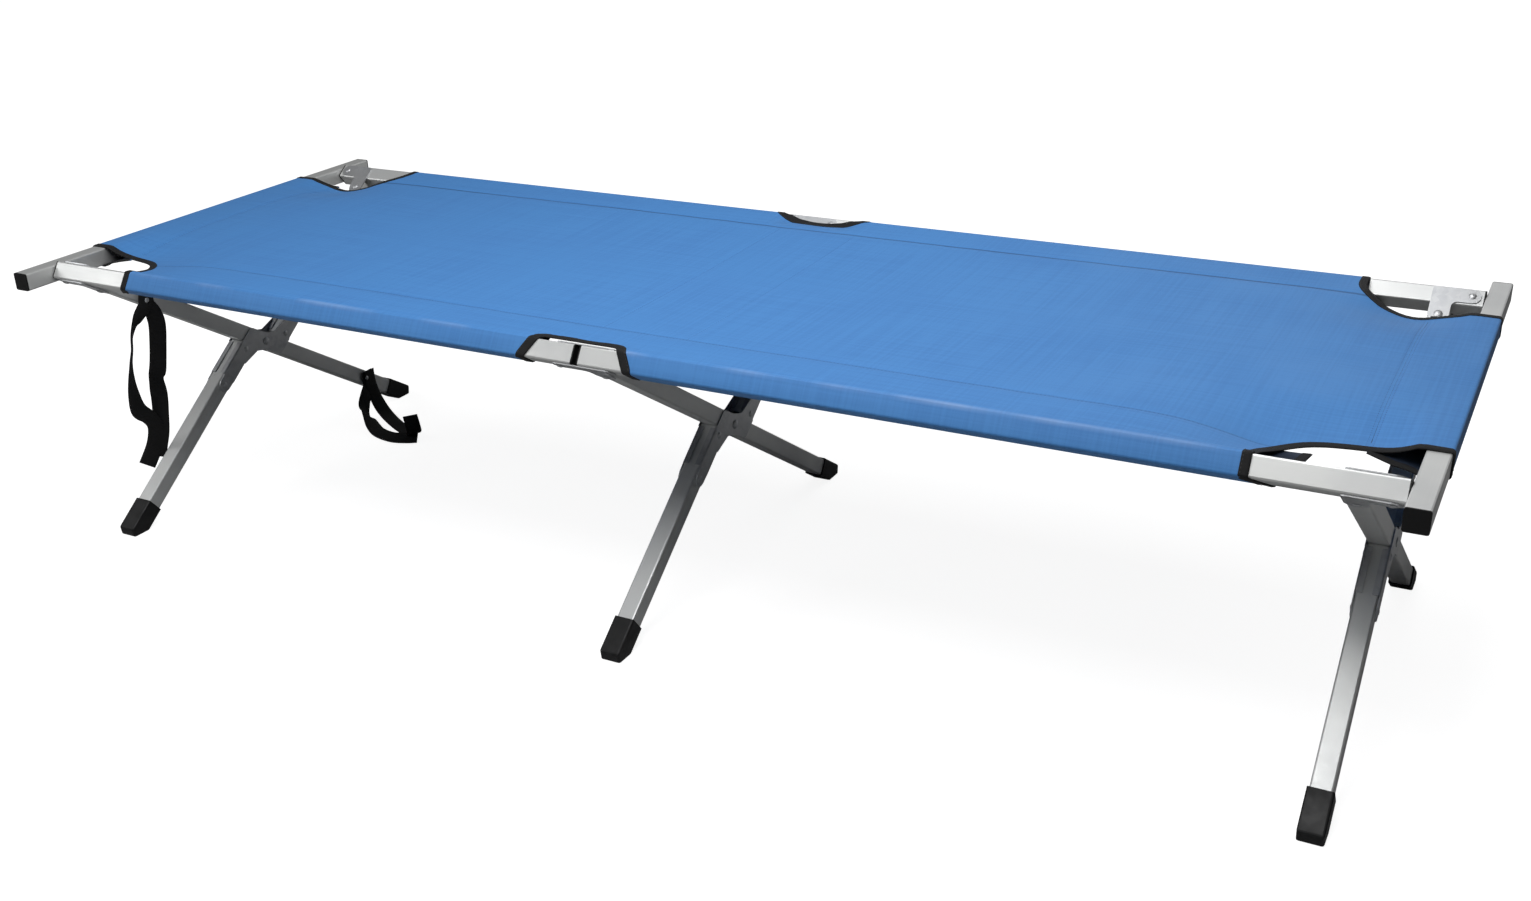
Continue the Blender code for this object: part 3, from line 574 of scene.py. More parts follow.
def filled(marks: Sequence[float], pitch: float, apart: float = 0.0) -> list[float]:
    """Put even steps between marks.

    Args:
        marks: measures in order.
        pitch: the longest step.
        apart: a mark nearer than this to the one before is left out.

    Returns:
        The measures in order.
    """
    steps = [marks[0]]
    for before, after in zip(marks, marks[1:]):
        if after - steps[-1] >= apart:
            count = max(1, math.ceil((after - before) / pitch))
            steps += [before + (after - before) * (step + 1) / count for step in range(count)]
    return steps


def swept_faces(start: int, rings: int, size: int) -> Faces:
    """The faces of a closed sweep whose points come ring after ring.

    Args:
        start: the index of its first point.
        rings: how many rings it has.
        size: how many points a ring has.

    Returns:
        Its sides and both caps.
    """
    last = start + (rings - 1) * size
    faces = [tuple(range(start, start + size))[::-1], tuple(range(last, last + size))]
    for ring in range(start, last, size):
        for count in range(size):
            first, second = ring + count, ring + (count + 1) % size
            faces.append((first, second, second + size, first + size))
    return faces


def ladder(start: float, pitch: float, count: int) -> set[float]:
    """Even measures from a start."""
    return {start + pitch * step for step in range(count)}


def arc(centre: Point2, radius: float, start: float, end: float, steps: int) -> list[Point2]:
    """Points along an arc.

    Args:
        centre: its centre.
        radius: its radius.
        start: first angle in degrees.
        end: last angle in degrees.
        steps: number of steps.

    Returns:
        The points, both ends included.
    """
    points = []
    for step in range(steps + 1):
        turn = math.radians(start + (end - start) * step / steps)
        points.append((centre[0] + radius * math.cos(turn), centre[1] + radius * math.sin(turn)))
    return points


@dataclass
class FoldedLine:
    """A line folded round a tube, measured along its length.

    Its corners are given as (place, height, radius of the bend).
    """

    corners: Sequence[Point3]
    bend_steps: int = 4
    points: np.ndarray = field(init=False)
    lengths: np.ndarray = field(init=False)
    normals: np.ndarray = field(init=False)

    def __post_init__(self) -> None:
        """Round the corners and measure the line."""
        path = [Vector(self.corners[0][:2])]
        for before, here, after in zip(self.corners, self.corners[1:], self.corners[2:]):
            path += self.bend(Vector(before[:2]), Vector(here[:2]), Vector(after[:2]), here[2])
        path.append(Vector(self.corners[-1][:2]))
        self.points = np.array([tuple(point) for point in path])
        steps = np.diff(self.points, axis=0)
        self.lengths = np.concatenate([[0.0], np.cumsum(np.linalg.norm(steps, axis=1))])
        tangents = steps / np.linalg.norm(steps, axis=1)[:, None]
        joined = np.vstack([tangents[:1], tangents[:-1] + tangents[1:], tangents[-1:]])
        joined /= np.linalg.norm(joined, axis=1)[:, None]
        self.normals = np.stack([-joined[:, 1], joined[:, 0]], axis=1)

    def bend(self, before: Vector, here: Vector, after: Vector, radius: float) -> list[Vector]:
        """Round one corner.

        Args:
            before: the point before it.
            here: the corner.
            after: the point after it.
            radius: the bend's radius.

        Returns:
            The bend's points.
        """
        back = (before - here).normalized()
        ahead = (after - here).normalized()
        half = back.angle(ahead) / 2.0
        centre = here + (back + ahead).normalized() * (radius / math.sin(half))
        first = here + back * (radius / math.tan(half)) - centre
        last = here + ahead * (radius / math.tan(half)) - centre
        turn = -first.angle_signed(last)
        steps = self.bend_steps
        return [centre + Matrix.Rotation(turn * step / steps, 2) @ first for step in range(steps + 1)]

    @property
    def length(self) -> float:
        """The whole length."""
        return float(self.lengths[-1])

    @property
    def marks(self) -> Point3:
        """The lengths at the middles of its last three bends.

        Returns:
            The three lengths in order.
        """
        count, steps = len(self.corners), self.bend_steps
        middles = [1 + (corner - 1) * (steps + 1) + steps // 2 for corner in range(count - 4, count - 1)]
        return tuple(float(self.lengths[middle]) for middle in middles)

    def at(self, along: float) -> tuple[np.ndarray, np.ndarray]:
        """Find a point of the line.

        Args:
            along: distance from its start.

        Returns:
            The point and the line's normal there.
        """
        place = np.array([np.interp(along, self.lengths, self.points[:, axis]) for axis in (0, 1)])
        normal = np.array([np.interp(along, self.lengths, self.normals[:, axis]) for axis in (0, 1)])
        return place, normal / np.linalg.norm(normal)

    def follow(self, along: float) -> float:
        """How far a point of the line moves with the sheet above it: wholly on the sheet and at the sewn end.

        Args:
            along: distance from its start.

        Returns:
            The share from 0 to 1.
        """
        lowest = int(np.argmin(self.points[:, 1]))
        outermost = float(self.lengths[int(np.argmax(self.points[:, 0]))])
        if along < outermost:
            return 1.0
        height = float(np.interp(along, self.lengths, self.points[:, 1]))
        base, sewn = float(self.points[lowest, 1]), float(self.points[-1, 1])
        return min(max((height - base) / (sewn - base), 0.0), 1.0) if along > self.lengths[lowest] else 0.0

    def length_at_place(self, place: float) -> float:
        """The distance along at which the line first reaches a place.

        Args:
            place: distance out from the bed's middle.

        Returns:
            The distance along the line.
        """
        index = int(np.argmax(self.points[:, 0] >= place))
        before, after = self.points[index - 1, 0], self.points[index, 0]
        share = (place - before) / (after - before)
        return float(self.lengths[index - 1] + share * (self.lengths[index] - self.lengths[index - 1]))


@dataclass(frozen=True)
class Tube:
    """The square tube and the frame's main places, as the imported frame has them."""

    size: float = 0.025
    corner: float = 0.0022
    rail_spacing: float = 0.610
    bar_spacing: float = 1.880
    station: float = 0.877
    height: float = 0.4095
    near_roll: float = 33.12
    far_roll: float = 37.53

    @property
    def rail(self) -> float:
        """How far a rail's middle lies from the bed's."""
        return self.rail_spacing / 2.0

    @property
    def bar_face(self) -> float:
        """How far an end bar's inner face lies from the bed's middle."""
        return self.bar_spacing / 2.0 - self.size / 2.0

    def rail_corner(self, roll: float, out: int, up: int, reach: float) -> Point2:
        """A corner of the square that goes round a rolled rail, as distance out from the middle and height.

        Args:
            roll: the rail's roll in degrees.
            out: 1 for the corner on its outer side, -1 for its inner side.
            up: 1 for its upper face, -1 for its lower.
            reach: distance of the square's sides from the rail's middle.

        Returns:
            The corner.
        """
        cos, sin = math.cos(math.radians(roll)), math.sin(math.radians(roll))
        return self.rail + reach * (out * cos - up * sin), self.height + reach * (out * sin + up * cos)


# The stretched bed


@dataclass(frozen=True)
class CornerCut:
    """A cut-out at a corner of the bed: where its sleeve ends, and how far its free edge hangs.

    The hangs are at even stations from just inside the sleeve, round the cut, to the end bar. The flap is how
    far the sleeve's edge leans out at its lower bend and at its seam.
    """

    sleeve_end: float
    hangs: tuple[float, ...]
    flap: Point2 = (0.023, 0.004)
    radius: float = 0.065
    binding: float = 0.0095


@dataclass(frozen=True)
class MiddleCut:
    """A cut-out over a middle plate: its centre, its half-length beside the rail and how far its edge dips.

    The corners are flat points of its right half, from the rail's crest inwards, with their rounding's radius.
    """

    centre: float
    low_half: float
    corners: tuple[Point3, ...]
    dip: float
    binding: float = 0.0112


CORNERS = {
    (1, -1): CornerCut(0.777, (0.004, 0.012, 0.0200, 0.0180, 0.0145, 0.0110, 0.001), (0.023, 0.046)),
    (-1, -1): CornerCut(0.787, (0.0, 0.005, 0.0110, 0.0145, 0.0155, 0.0105, 0.001), (0.023, 0.018), 0.080),
    (1, 1): CornerCut(0.787, (0.0, 0.0, 0.0020, 0.0115, 0.0160, 0.0080, 0.0)),
    (-1, 1): CornerCut(0.775, (0.0, 0.0, 0.0030, 0.0125, 0.0170, 0.0090, 0.0)),
}

MIDDLES = {
    -1: MiddleCut(-0.0225, 0.0720, ((0.0530, 0.3015, 0.009),), 0.0010),
    1: MiddleCut(
        0.0045, 0.0740, ((0.0650, 0.3055, 0.020), (0.0360, 0.2958, 0.060), (0.0110, 0.2925, 0.120)), 0.0080
    ),
}


@dataclass(frozen=True)
class Ripple:
    """Soft unevenness of the sheet: its height, its density along and across, and its place in the noise."""

    height: float
    along: float
    across: float
    place: float

    def at(self, along: float, across: float) -> float:
        """Its height at a place on the bed."""
        return self.height * noise.noise(Vector((along * self.along, across * self.across, self.place)))


@dataclass(frozen=True)
class Stitching:
    """A seam's stitches: their length, their pitch, half their width and how far they stand up."""

    length: float
    pitch: float
    half_width: float
    height: float


@dataclass
class StretchedBed:
    """The cloth bed: one stretched sheet sewn into sleeves round the rails and hems round the end bars.

    Its points are worked out from flat measures along the bed and across it, both from its middle and both
    following the cloth round the tubes.
    """

    tube: Tube
    # The cloth and its way round the tubes
    cloth: float = 0.0009
    gap: float = 0.0003
    level: float = 0.42704
    bend_radius: float = 0.0030
    flat_end: float = 0.800
    end_bend: float = 0.5
    crest_bend: float = 0.02
    crest_lift: float = 0.0004
    layer_gap: float = 0.0012
    # Its cut and its seams
    seam_across: float = 0.240
    hem_half: float = 0.222
    hem_seam: float = 0.873
    hem_flap: Point2 = (0.0135, 0.0055)
    hem_inset: float = 0.0095
    hem_lead: float = 0.03
    hem_rows: Point2 = (-0.0035, 0.0035)
    hem_margin: float = 0.0135
    sleeve_row: Point2 = (-0.784, 0.780)
    cross_seams: Point2 = (-0.03, 0.09)
    cross_margin: float = 0.004
    low_radius: float = 0.010
    seam_end: float = 0.786
    seam_width: float = 0.004
    seam_fade: Point2 = (0.012, 0.01)
    seam_depths: Point3 = (0.0009, 0.0006, 0.0007)
    thread: Stitching = Stitching(0.0030, 0.0046, 0.00032, 0.00022)
    # The tape over its cut edges: its layers, its profile's insets and the height of its fold
    binding_thickness: float = 0.0008
    binding_gap: float = 0.0001
    binding_insets: Point3 = (0.0004, 0.0012, -0.0008)
    binding_fold: float = 0.45
    binding_thread: Stitching = Stitching(0.0026, 0.0042, 0.00028, 0.0002)
    binding_margin: float = 0.004
    # The grid it is modelled with
    grid: float = 0.0115
    edge_pitch: float = 0.008
    middle_pitch: float = 0.002
    cut_steps: int = 14
    hem_steps: int = 20
    closest: float = 0.0004
    edge_room: float = 0.0028
    seam_grid: tuple[float, ...] = (-0.007, -0.0035, 0.0, 0.0035, 0.007)
    middle_grid: tuple[float, float, int] = (0.0, 0.006, 18)
    crest_grid: tuple[float, float, int] = (0.2775, 0.0025, 12)
    # How it sags, ripples and hangs
    sag: float = 0.0040
    crest_fade: Point2 = (0.0005, 0.010)
    end_fade: float = 0.02
    cloud: Ripple = Ripple(0.0009, 3.1, 4.3, 0.7)
    rail_pulls: Ripple = Ripple(0.0005, 26.0, 3.0, 3.1)
    rail_fade: Point2 = (0.12, 0.15)
    bar_pulls: Ripple = Ripple(0.0005, 3.0, 30.0, 5.3)
    bar_fade: Point2 = (0.62, 0.2)
    hang_reach: float = 0.075
    hang_lead: float = 0.030
    dip_reach: float = 0.030
    dip_ends: float = 0.45
    edge_wave: Point3 = (0.00035, 0.062, 0.6)
    # How it rests on the rails and their plates
    plate_room: float = 0.0030
    plate_reach: float = 0.10
    plate_ramp: float = 0.03
    rest_lead: float = 0.012
    rest_soft: float = 0.0025
    rest_fade: float = 0.008
    rest_below: float = 0.0003
    near: FoldedLine = field(init=False)
    far: FoldedLine = field(init=False)
    ends: FoldedLine = field(init=False)

    def __post_init__(self) -> None:
        """Lay out the lines that the cloth follows round the tubes."""
        self.near = self.sleeve_line(self.tube.near_roll)
        self.far = self.sleeve_line(self.tube.far_roll)
        reach, bar = self.reach, self.tube.bar_spacing / 2.0
        top, bottom = self.tube.height + reach, self.tube.height - reach
        self.ends = FoldedLine(
            [
                (0.0, self.level, 0.0),
                (self.flat_end, self.level, self.end_bend),
                (self.tube.bar_face, top + self.crest_lift, self.crest_bend),
                (bar + reach, top, self.bend_radius),
                (bar + reach, bottom, self.bend_radius),
                (bar - reach, bottom, self.bend_radius),
                (self.hem_seam, self.sewn_level, 0.0),
            ]
        )

    @property
    def reach(self) -> float:
        """How far the cloth's middle surface lies from the middle of a tube inside it."""
        return self.tube.size / 2.0 + self.gap + self.cloth / 2.0

    @property
    def sewn_level(self) -> float:
        """How high the sleeves' and hems' under layer lies at its seam."""
        return self.level - self.cloth - self.layer_gap

    def line_of(self, side: float) -> FoldedLine:
        """The line across the bed on the far side, or on the near side for a number below 0."""
        return self.far if side >= 0.0 else self.near

    def sleeve_line(self, roll: float) -> FoldedLine:
        """The line across the bed on one side, from the middle to the sleeve's seam.

        Args:
            roll: the rail's roll in degrees.

        Returns:
            The line.
        """
        top, outer, lowest = (
            self.tube.rail_corner(roll, out, up, self.reach) for out, up in ((1, 1), (1, -1), (-1, -1))
        )
        share = (top[1] - self.level) / (top[1] - outer[1])
        return FoldedLine(
            [
                (0.0, self.level, 0.0),
                (top[0] + share * (outer[0] - top[0]), self.level, self.bend_radius),
                (*outer, self.bend_radius),
                (*lowest, self.bend_radius),
                (self.seam_across, self.sewn_level, 0.0),
            ]
        )

    def place(self, along: float, across: float, lift: float = 0.0) -> Point3:
        """Find where a point of the flat cloth lies.

        Args:
            along: flat measure along the bed, positive towards the right end.
            across: flat measure across it, positive towards the far rail.
            lift: distance off the cloth's middle surface, outwards.

        Returns:
            The point in the frame's own axes.
        """
        side, end, flank = self.line_of(across), side_of(along), side_of(across)
        (x, z_end), n_end = self.ends.at(abs(along))
        (y, z_side), n_side = side.at(abs(across))
        x, y = end * x, flank * y
        normal = Vector((end * n_end[0], flank * n_side[0], n_end[1] * n_side[1])).normalized()
        follow = self.ends.follow(abs(along)) * side.follow(abs(across))
        height = z_end + z_side - self.level + follow * self.relief(x, y)
        if abs(across) < side.length_at_place(self.tube.rail):
            height = self.rest_on(height, x, y)
        return x + lift * normal.x, y + lift * normal.y, height + lift * normal.z

    def rest_on(self, height: float, along: float, across: float) -> float:
        """Keep the cloth off a rail's upper face and its plates, with a soft start.

        Args:
            height: how high it would lie without them.
            along: place along the bed.
            across: place across it.

        Returns:
            The height where it lies.
        """
        roll = self.tube.far_roll if across >= 0.0 else self.tube.near_roll
        reach = self.tube.size / 2.0 + self.gap + self.cloth
        inner = self.tube.rail_corner(roll, -1, 1, reach)
        if abs(across) < inner[0] - self.rest_lead:
            return height
        plates = min(abs(along - MIDDLES[side_of(across)].centre), abs(abs(along) - self.tube.station))
        room = self.plate_room * smoothstep((self.plate_reach - plates) / self.plate_ramp)
        floor = inner[1] + (abs(across) - inner[0]) * math.tan(math.radians(roll)) + room
        floor = min(floor, self.level - self.rest_below)
        soft = self.rest_soft * smoothstep((self.tube.rail - abs(across)) / self.rest_fade)
        over = height - floor
        return floor + (over + math.hypot(over, soft)) / 2.0

    def relief(self, along: float, across: float) -> float:
        """How far the stretched sheet stands off flat: sag, hanging cut-outs, tension folds and seams.

        Args:
            along: place along the bed.
            across: place across it.

        Returns:
            The height above flat in metres.
        """
        x, y = abs(along), abs(across)
        crest, bar = self.tube.rail, self.tube.bar_face
        gap, fade = self.crest_fade
        free = smoothstep((crest - gap - y) / fade) * smoothstep((bar - x) / self.end_fade)
        if free <= 0.0:
            return 0.0
        height = -self.sag * (math.cos(math.pi * 0.5 * min(y / crest, 1.0)) * (1.0 - (x / bar) ** 4))
        height -= self.hang(along, across) + self.dip(along, across)
        height += self.cloud.at(along, across)
        pulled = ((self.rail_pulls, y, self.rail_fade), (self.bar_pulls, x, self.bar_fade))
        for pulls, off, (start, fade) in pulled:
            height += pulls.at(along, across) * smoothstep((off - start) / fade)
        height -= self.seam_dip(along, across)
        return height * free

    def hang(self, along: float, across: float) -> float:
        """How far the sheet hangs for the free edge of its corner cut-out.

        Args:
            along: place along the bed.
            across: place across it.

        Returns:
            The depth in metres.
        """
        cut = CORNERS[side_of(along), side_of(across)]
        x, y = abs(along), abs(across)
        dx, dy = cut.sleeve_end + cut.radius - x, self.hem_half + cut.radius - y
        quarter = cut.radius * math.pi / 2.0
        if dx < 0.0:
            travel, off = quarter - dx, max(self.hem_half - y, 0.0)
        elif dy < 0.0:
            travel, off = dy, max(cut.sleeve_end - x, 0.0)
        else:
            travel = cut.radius * math.atan2(dy, dx)
            off = max(math.hypot(dx, dy) - cut.radius, 0.0)
        whole = self.hang_lead + quarter + self.tube.bar_face - cut.sleeve_end - cut.radius
        station = min(max((travel + self.hang_lead) / whole, 0.0), 0.9999) * (len(cut.hangs) - 1)
        knots = (cut.hangs[0], *cut.hangs, cut.hangs[-1])
        depth = curve_through(*knots[int(station) : int(station) + 4], station % 1.0)
        return max(depth, 0.0) * math.exp(-((off / self.hang_reach) ** 2))

    def dip(self, along: float, across: float) -> float:
        """How far the sheet dips for the free edge of its middle cut-out.

        Args:
            along: place along the bed.
            across: place across it.

        Returns:
            The depth in metres.
        """
        cut = MIDDLES[side_of(across)]
        share = abs(along - cut.centre) / cut.low_half
        height, length, phase = self.edge_wave
        depth = cut.dip + height * math.sin((along - cut.centre) * 2.0 * math.pi / length + phase)
        off = max(cut.corners[-1][1] - abs(across), 0.0)
        return depth * smoothstep((1.0 - share) / self.dip_ends) * math.exp(-((off / self.dip_reach) ** 2))

    def seam_dip(self, along: float, across: float) -> float:
        """How far the stitched seams draw the cloth in.

        Args:
            along: place along the bed.
            across: place across it.

        Returns:
            The depth in metres.
        """
        x, y = abs(along), abs(across)
        sleeve, cross, hem = self.seam_depths
        fade, cross_fade = self.seam_fade
        dip = self.groove(y - self.seam_across, sleeve) * smoothstep((self.seam_end - x) / fade)
        for seam in self.cross_seams:
            dip += self.groove(along - seam, cross) * smoothstep((self.seam_across - y) / cross_fade)
        inside = smoothstep((self.hem_half - self.hem_inset - y) / fade)
        return dip + self.groove(x - self.hem_seam, hem) * inside

    def groove(self, off: float, depth: float) -> float:
        """The depth of a seam's groove at a distance from its middle."""
        return depth * math.exp(-((off / self.seam_width) ** 2))

    def corner_edge(self, end: int, side: int) -> list[Point2]:
        """The bound edge of a corner cut-out.

        Args:
            end: 1 for the right end, -1 for the left.
            side: 1 for the far side, -1 for the near.

        Returns:
            The edge's flat points from the hem's seam to the sleeve's, as if it were in the positive quarter.
        """
        cut, line = CORNERS[end, side], self.line_of(side)
        centre = (cut.sleeve_end + cut.radius, self.hem_half + cut.radius)
        marks = (self.ends.marks[0], self.ends.marks[2] + self.hem_lead, self.ends.length)
        edge = []
        for along in self.steps_between(self.ends.length, centre[0], self.ends)[:-1]:
            edge.append((along, self.hem_half + float(np.interp(along, marks, (0.0, *self.hem_flap)))))
        edge += arc(centre, cut.radius, 270.0, 180.0, self.cut_steps)
        marks = (*line.marks[1:], line.length)
        for across in self.steps_between(centre[1], line.length, line)[1:]:
            edge.append((cut.sleeve_end + float(np.interp(across, marks, (0.0, *cut.flap))), across))
        return edge

    def middle_edge(self, side: int) -> list[Point2]:
        """The bound edge of a middle cut-out.

        Args:
            side: 1 for the far side, -1 for the near.

        Returns:
            The edge's flat points from its right sleeve's seam to the left one's, as if on the far side.
        """
        cut, line = MIDDLES[side], self.line_of(side)
        right = [(cut.low_half, line.length, 0.0), (cut.low_half, line.marks[1], self.low_radius), *cut.corners]
        left = [(-along, across, radius) for along, across, radius in reversed(right)]
        path = FoldedLine(right + left, bend_steps=8).points
        edge = [tuple(path[0])]
        for before, after in zip(path, path[1:]):
            count = max(1, math.ceil(math.dist(before, after) / self.middle_pitch))
            edge += [tuple(before + (after - before) * (step + 1) / count) for step in range(count)]
        return [(along + cut.centre, across) for along, across in edge]

    def steps_between(self, start: float, end: float, line: FoldedLine) -> list[float]:
        """Distances from start to end, with the line's own bends among them.

        Args:
            start: first distance.
            end: last distance.
            line: the line that bends.

        Returns:
            The distances in order.
        """
        low, high = min(start, end), max(start, end)
        marks = {low, high} | {float(mark) for mark in line.lengths if low < mark < high}
        steps = filled(sorted(marks), self.edge_pitch)
        return steps if start < end else steps[::-1]

    def outline(self) -> list[Point2]:
        """The cut cloth's closed outline."""
        right, left = self.quarter(1, 1), self.quarter(-1, 1)[::-1]
        return right + left + self.quarter(-1, -1) + self.quarter(1, -1)[::-1]

    def bound_edges(self) -> list[tuple[list[Point2], float]]:
        """The edges with black tape folded over them.

        Returns:
            Each edge with its tape's width, signed by the side the cloth lies on.
        """
        bound = []
        for (end, side), cut in CORNERS.items():
            edge = [(end * along, side * across) for along, across in self.corner_edge(end, side)]
            bound.append((edge, end * side * cut.binding))
        for side, cut in MIDDLES.items():
            edge = [(along, side * across) for along, across in self.middle_edge(side)]
            bound.append((edge, side * cut.binding))
        return bound

    def quarter(self, end: int, side: int) -> list[Point2]:
        """The outline of one quarter, from the hem's end at mid bed to the deepest point of the middle cut-out.

        Args:
            end: 1 for the right end, -1 for the left.
            side: 1 for the far side, -1 for the near.

        Returns:
            The flat points in order.
        """
        corner, middle, line = self.corner_edge(end, side), self.middle_edge(side), self.line_of(side)
        if end < 0:
            middle = [(-along, across) for along, across in reversed(middle)]
        hem = np.linspace(0.0, corner[0][1], self.hem_steps)[:-1]
        points = [(self.ends.length, across) for across in hem] + corner
        count = math.ceil((corner[-1][0] - middle[0][0]) / self.grid)
        points += [(along, line.length) for along in np.linspace(corner[-1][0], middle[0][0], count + 1)[1:-1]]
        points += middle[: (len(middle) + 1) // 2]
        return [(end * along, side * across) for along, across in points]

    def lines_along(self) -> list[float]:
        """The grid's flat measures along the bed.

        Returns:
            The measures from the middle to the hem's end.
        """
        marks = {float(mark) for mark in self.ends.lengths} | ladder(*self.middle_grid)
        for seam in (self.hem_seam, *(abs(one) for one in self.cross_seams)):
            marks |= {seam + step for step in self.seam_grid}
        return self.gridded(marks, self.ends.length)

    def lines_across(self, line: FoldedLine) -> list[float]:
        """The grid's flat measures across the bed on one side."""
        marks = {float(mark) for mark in line.lengths} | ladder(*self.crest_grid)
        return self.gridded(marks | {self.seam_across + step for step in self.seam_grid}, line.length)

    def gridded(self, marks: set[float], end: float) -> list[float]:
        """Fill the spaces between the marks from 0 to the end with an even grid."""
        ordered = sorted(mark for mark in marks | {0.0, end} if 0.0 <= mark <= end)
        return filled(ordered, self.grid, self.closest)

    def inner_points(self, outline: list[Point2]) -> list[Point2]:
        """Grid points that lie inside the outline, clear of its edge.

        Args:
            outline: the closed outline.

        Returns:
            The flat points.
        """
        along = self.lines_along()
        across = sorted({-mark for mark in self.lines_across(self.near)} | set(self.lines_across(self.far)))
        along = sorted({-mark for mark in along} | set(along))
        grid = np.array([(u, v) for u in along for v in across])
        ring = np.array(outline)
        after = np.roll(ring, -1, axis=0)
        inside = np.zeros(len(grid), bool)
        nearest = np.full(len(grid), np.inf)
        for (u0, v0), (u1, v1) in zip(ring, after):
            edge = np.array((u1 - u0, v1 - v0))
            share = np.clip(((grid - (u0, v0)) @ edge) / max(edge @ edge, 1e-12), 0.0, 1.0)
            nearest = np.minimum(nearest, np.linalg.norm(grid - (u0, v0) - share[:, None] * edge, axis=1))
            if abs(v1 - v0) > 1e-12:
                spans = (v0 > grid[:, 1]) != (v1 > grid[:, 1])
                inside ^= spans & (grid[:, 0] < u0 + (grid[:, 1] - v0) * (u1 - u0) / (v1 - v0))
        return [tuple(point) for point in grid[inside & (nearest > self.edge_room)]]

    def build_sheet(self) -> Piece:
        """Cut, lay and thicken the cloth.

        Returns:
            The cloth's piece.
        """
        outline = self.outline()
        ring = [Vector(point) for point in outline]
        loop = [(index, (index + 1) % len(ring)) for index in range(len(ring))]
        inner = [Vector(point) for point in self.inner_points(outline)]
        verts, _, faces, *_ = delaunay_2d_cdt(ring + inner, loop, [], 1, 1e-7)
        flat = [tuple(vert) for vert in verts]
        mesh = mesh_of([self.place(*point) for point in flat], faces, flat)
        sheet = new_piece("bed_sheet", mesh, OxfordCloth("oxford_cloth").make(), 60.0)
        # Painted shade: the cloth's inner face gets a much darker copy of the cloth, mostly for the shade
        # inside the sleeves and hems and under the sheet, and a little for its darker coated back.
        mesh.materials.append(OxfordCloth("cloth_inside_painted_shade", (0.004, 0.011, 0.030), (0.003, 0.008, 0.022)).make())
        solid = sheet.modifiers.new("thickness", "SOLIDIFY")
        solid.thickness = self.cloth
        solid.offset = 0.0
        solid.material_offset = 1
        apply_modifiers(sheet)
        return sheet

    def flat_area(self) -> float:
        """How much cloth is cut.

        Returns:
            The area in square metres.
        """
        ring = np.array(self.outline())
        after = np.roll(ring, -1, axis=0)
        return float(abs((ring[:, 0] * after[:, 1] - after[:, 0] * ring[:, 1]).sum()) / 2.0)

    def build_binding(self) -> Piece:
        """Fold black tape over the bound edges.

        Returns:
            The binding's piece.
        """
        points: list[Point3] = []
        faces: Faces = []
        flat: list[Point2] = []
        reach = self.cloth / 2.0 + self.binding_thickness
        half, spacing = self.cloth / 2.0 + self.binding_gap, 0.0025
        lead, tail, fold = self.binding_insets
        for edge, signed in self.bound_edges():
            width = abs(signed)
            profile = [(width, half)] + [(inset, reach) for inset in np.linspace(width - lead, tail, 5)]
            profile.append((fold, reach * self.binding_fold))
            profile += [(inset, -lift) for inset, lift in reversed(profile)]
            faces += swept_faces(len(points), len(edge), len(profile))
            travel = 0.0
            for index, here in enumerate(edge):
                before, after = edge[max(index - 1, 0)], edge[min(index + 1, len(edge) - 1)]
                tangent = Vector((after[0] - before[0], after[1] - before[1])).normalized()
                inward = Vector((-tangent.y, tangent.x)) * math.copysign(1.0, signed)
                travel += math.dist(here, before) if index else 0.0
                for count, (inset, lift) in enumerate(profile):
                    spot = Vector(here) + inward * inset
                    points.append(self.place(spot.x, spot.y, lift))
                    flat.append((travel, count * spacing))
        tape = WovenTape("binding_tape", ribs_per_metre=900.0, rows_per_metre=0.0)
        return new_piece("bed_binding", mesh_of(points, faces, flat), tape.make(), 50.0)

    def stitched_rows(self) -> list[tuple[Callable[[float], Point2], float, float]]:
        """The rows of stitches on the sheet.

        Returns:
            Each row as its flat point at a distance, with the distances where it starts and ends.
        """
        rows: list[tuple[Callable[[float], Point2], float, float]] = []
        for sign in (-1.0, 1.0):
            rows.append((lambda t, v=sign * self.seam_across: (t, v), *self.sleeve_row))
            end = self.hem_half - self.hem_margin
            for step in self.hem_rows:
                rows.append((lambda t, u=sign * (self.hem_seam + step): (u, t), -end, end))
        end = self.seam_across - self.cross_margin
        for seam in self.cross_seams:
            rows.append((lambda t, u=seam: (u, t), -end, end))
        return rows

    def build_stitches(self) -> Piece:
        """Sew the seams with short stitches that lie just proud of the cloth.

        Returns:
            The stitches' piece.
        """
        sewn, half = Stitches(self.place, self.cloth / 2.0, self.thread), self.thread.length / 2.0
        for row, start, end in self.stitched_rows():
            for middle in np.arange(start, end, self.thread.pitch):
                sewn.add(row(middle - half), row(middle + half))
        thread = SewingThread("blue_thread", (0.022, 0.075, 0.24), (0.035, 0.11, 0.33))
        return new_piece("seam_stitches", sewn.mesh(), thread.make(), 50.0)

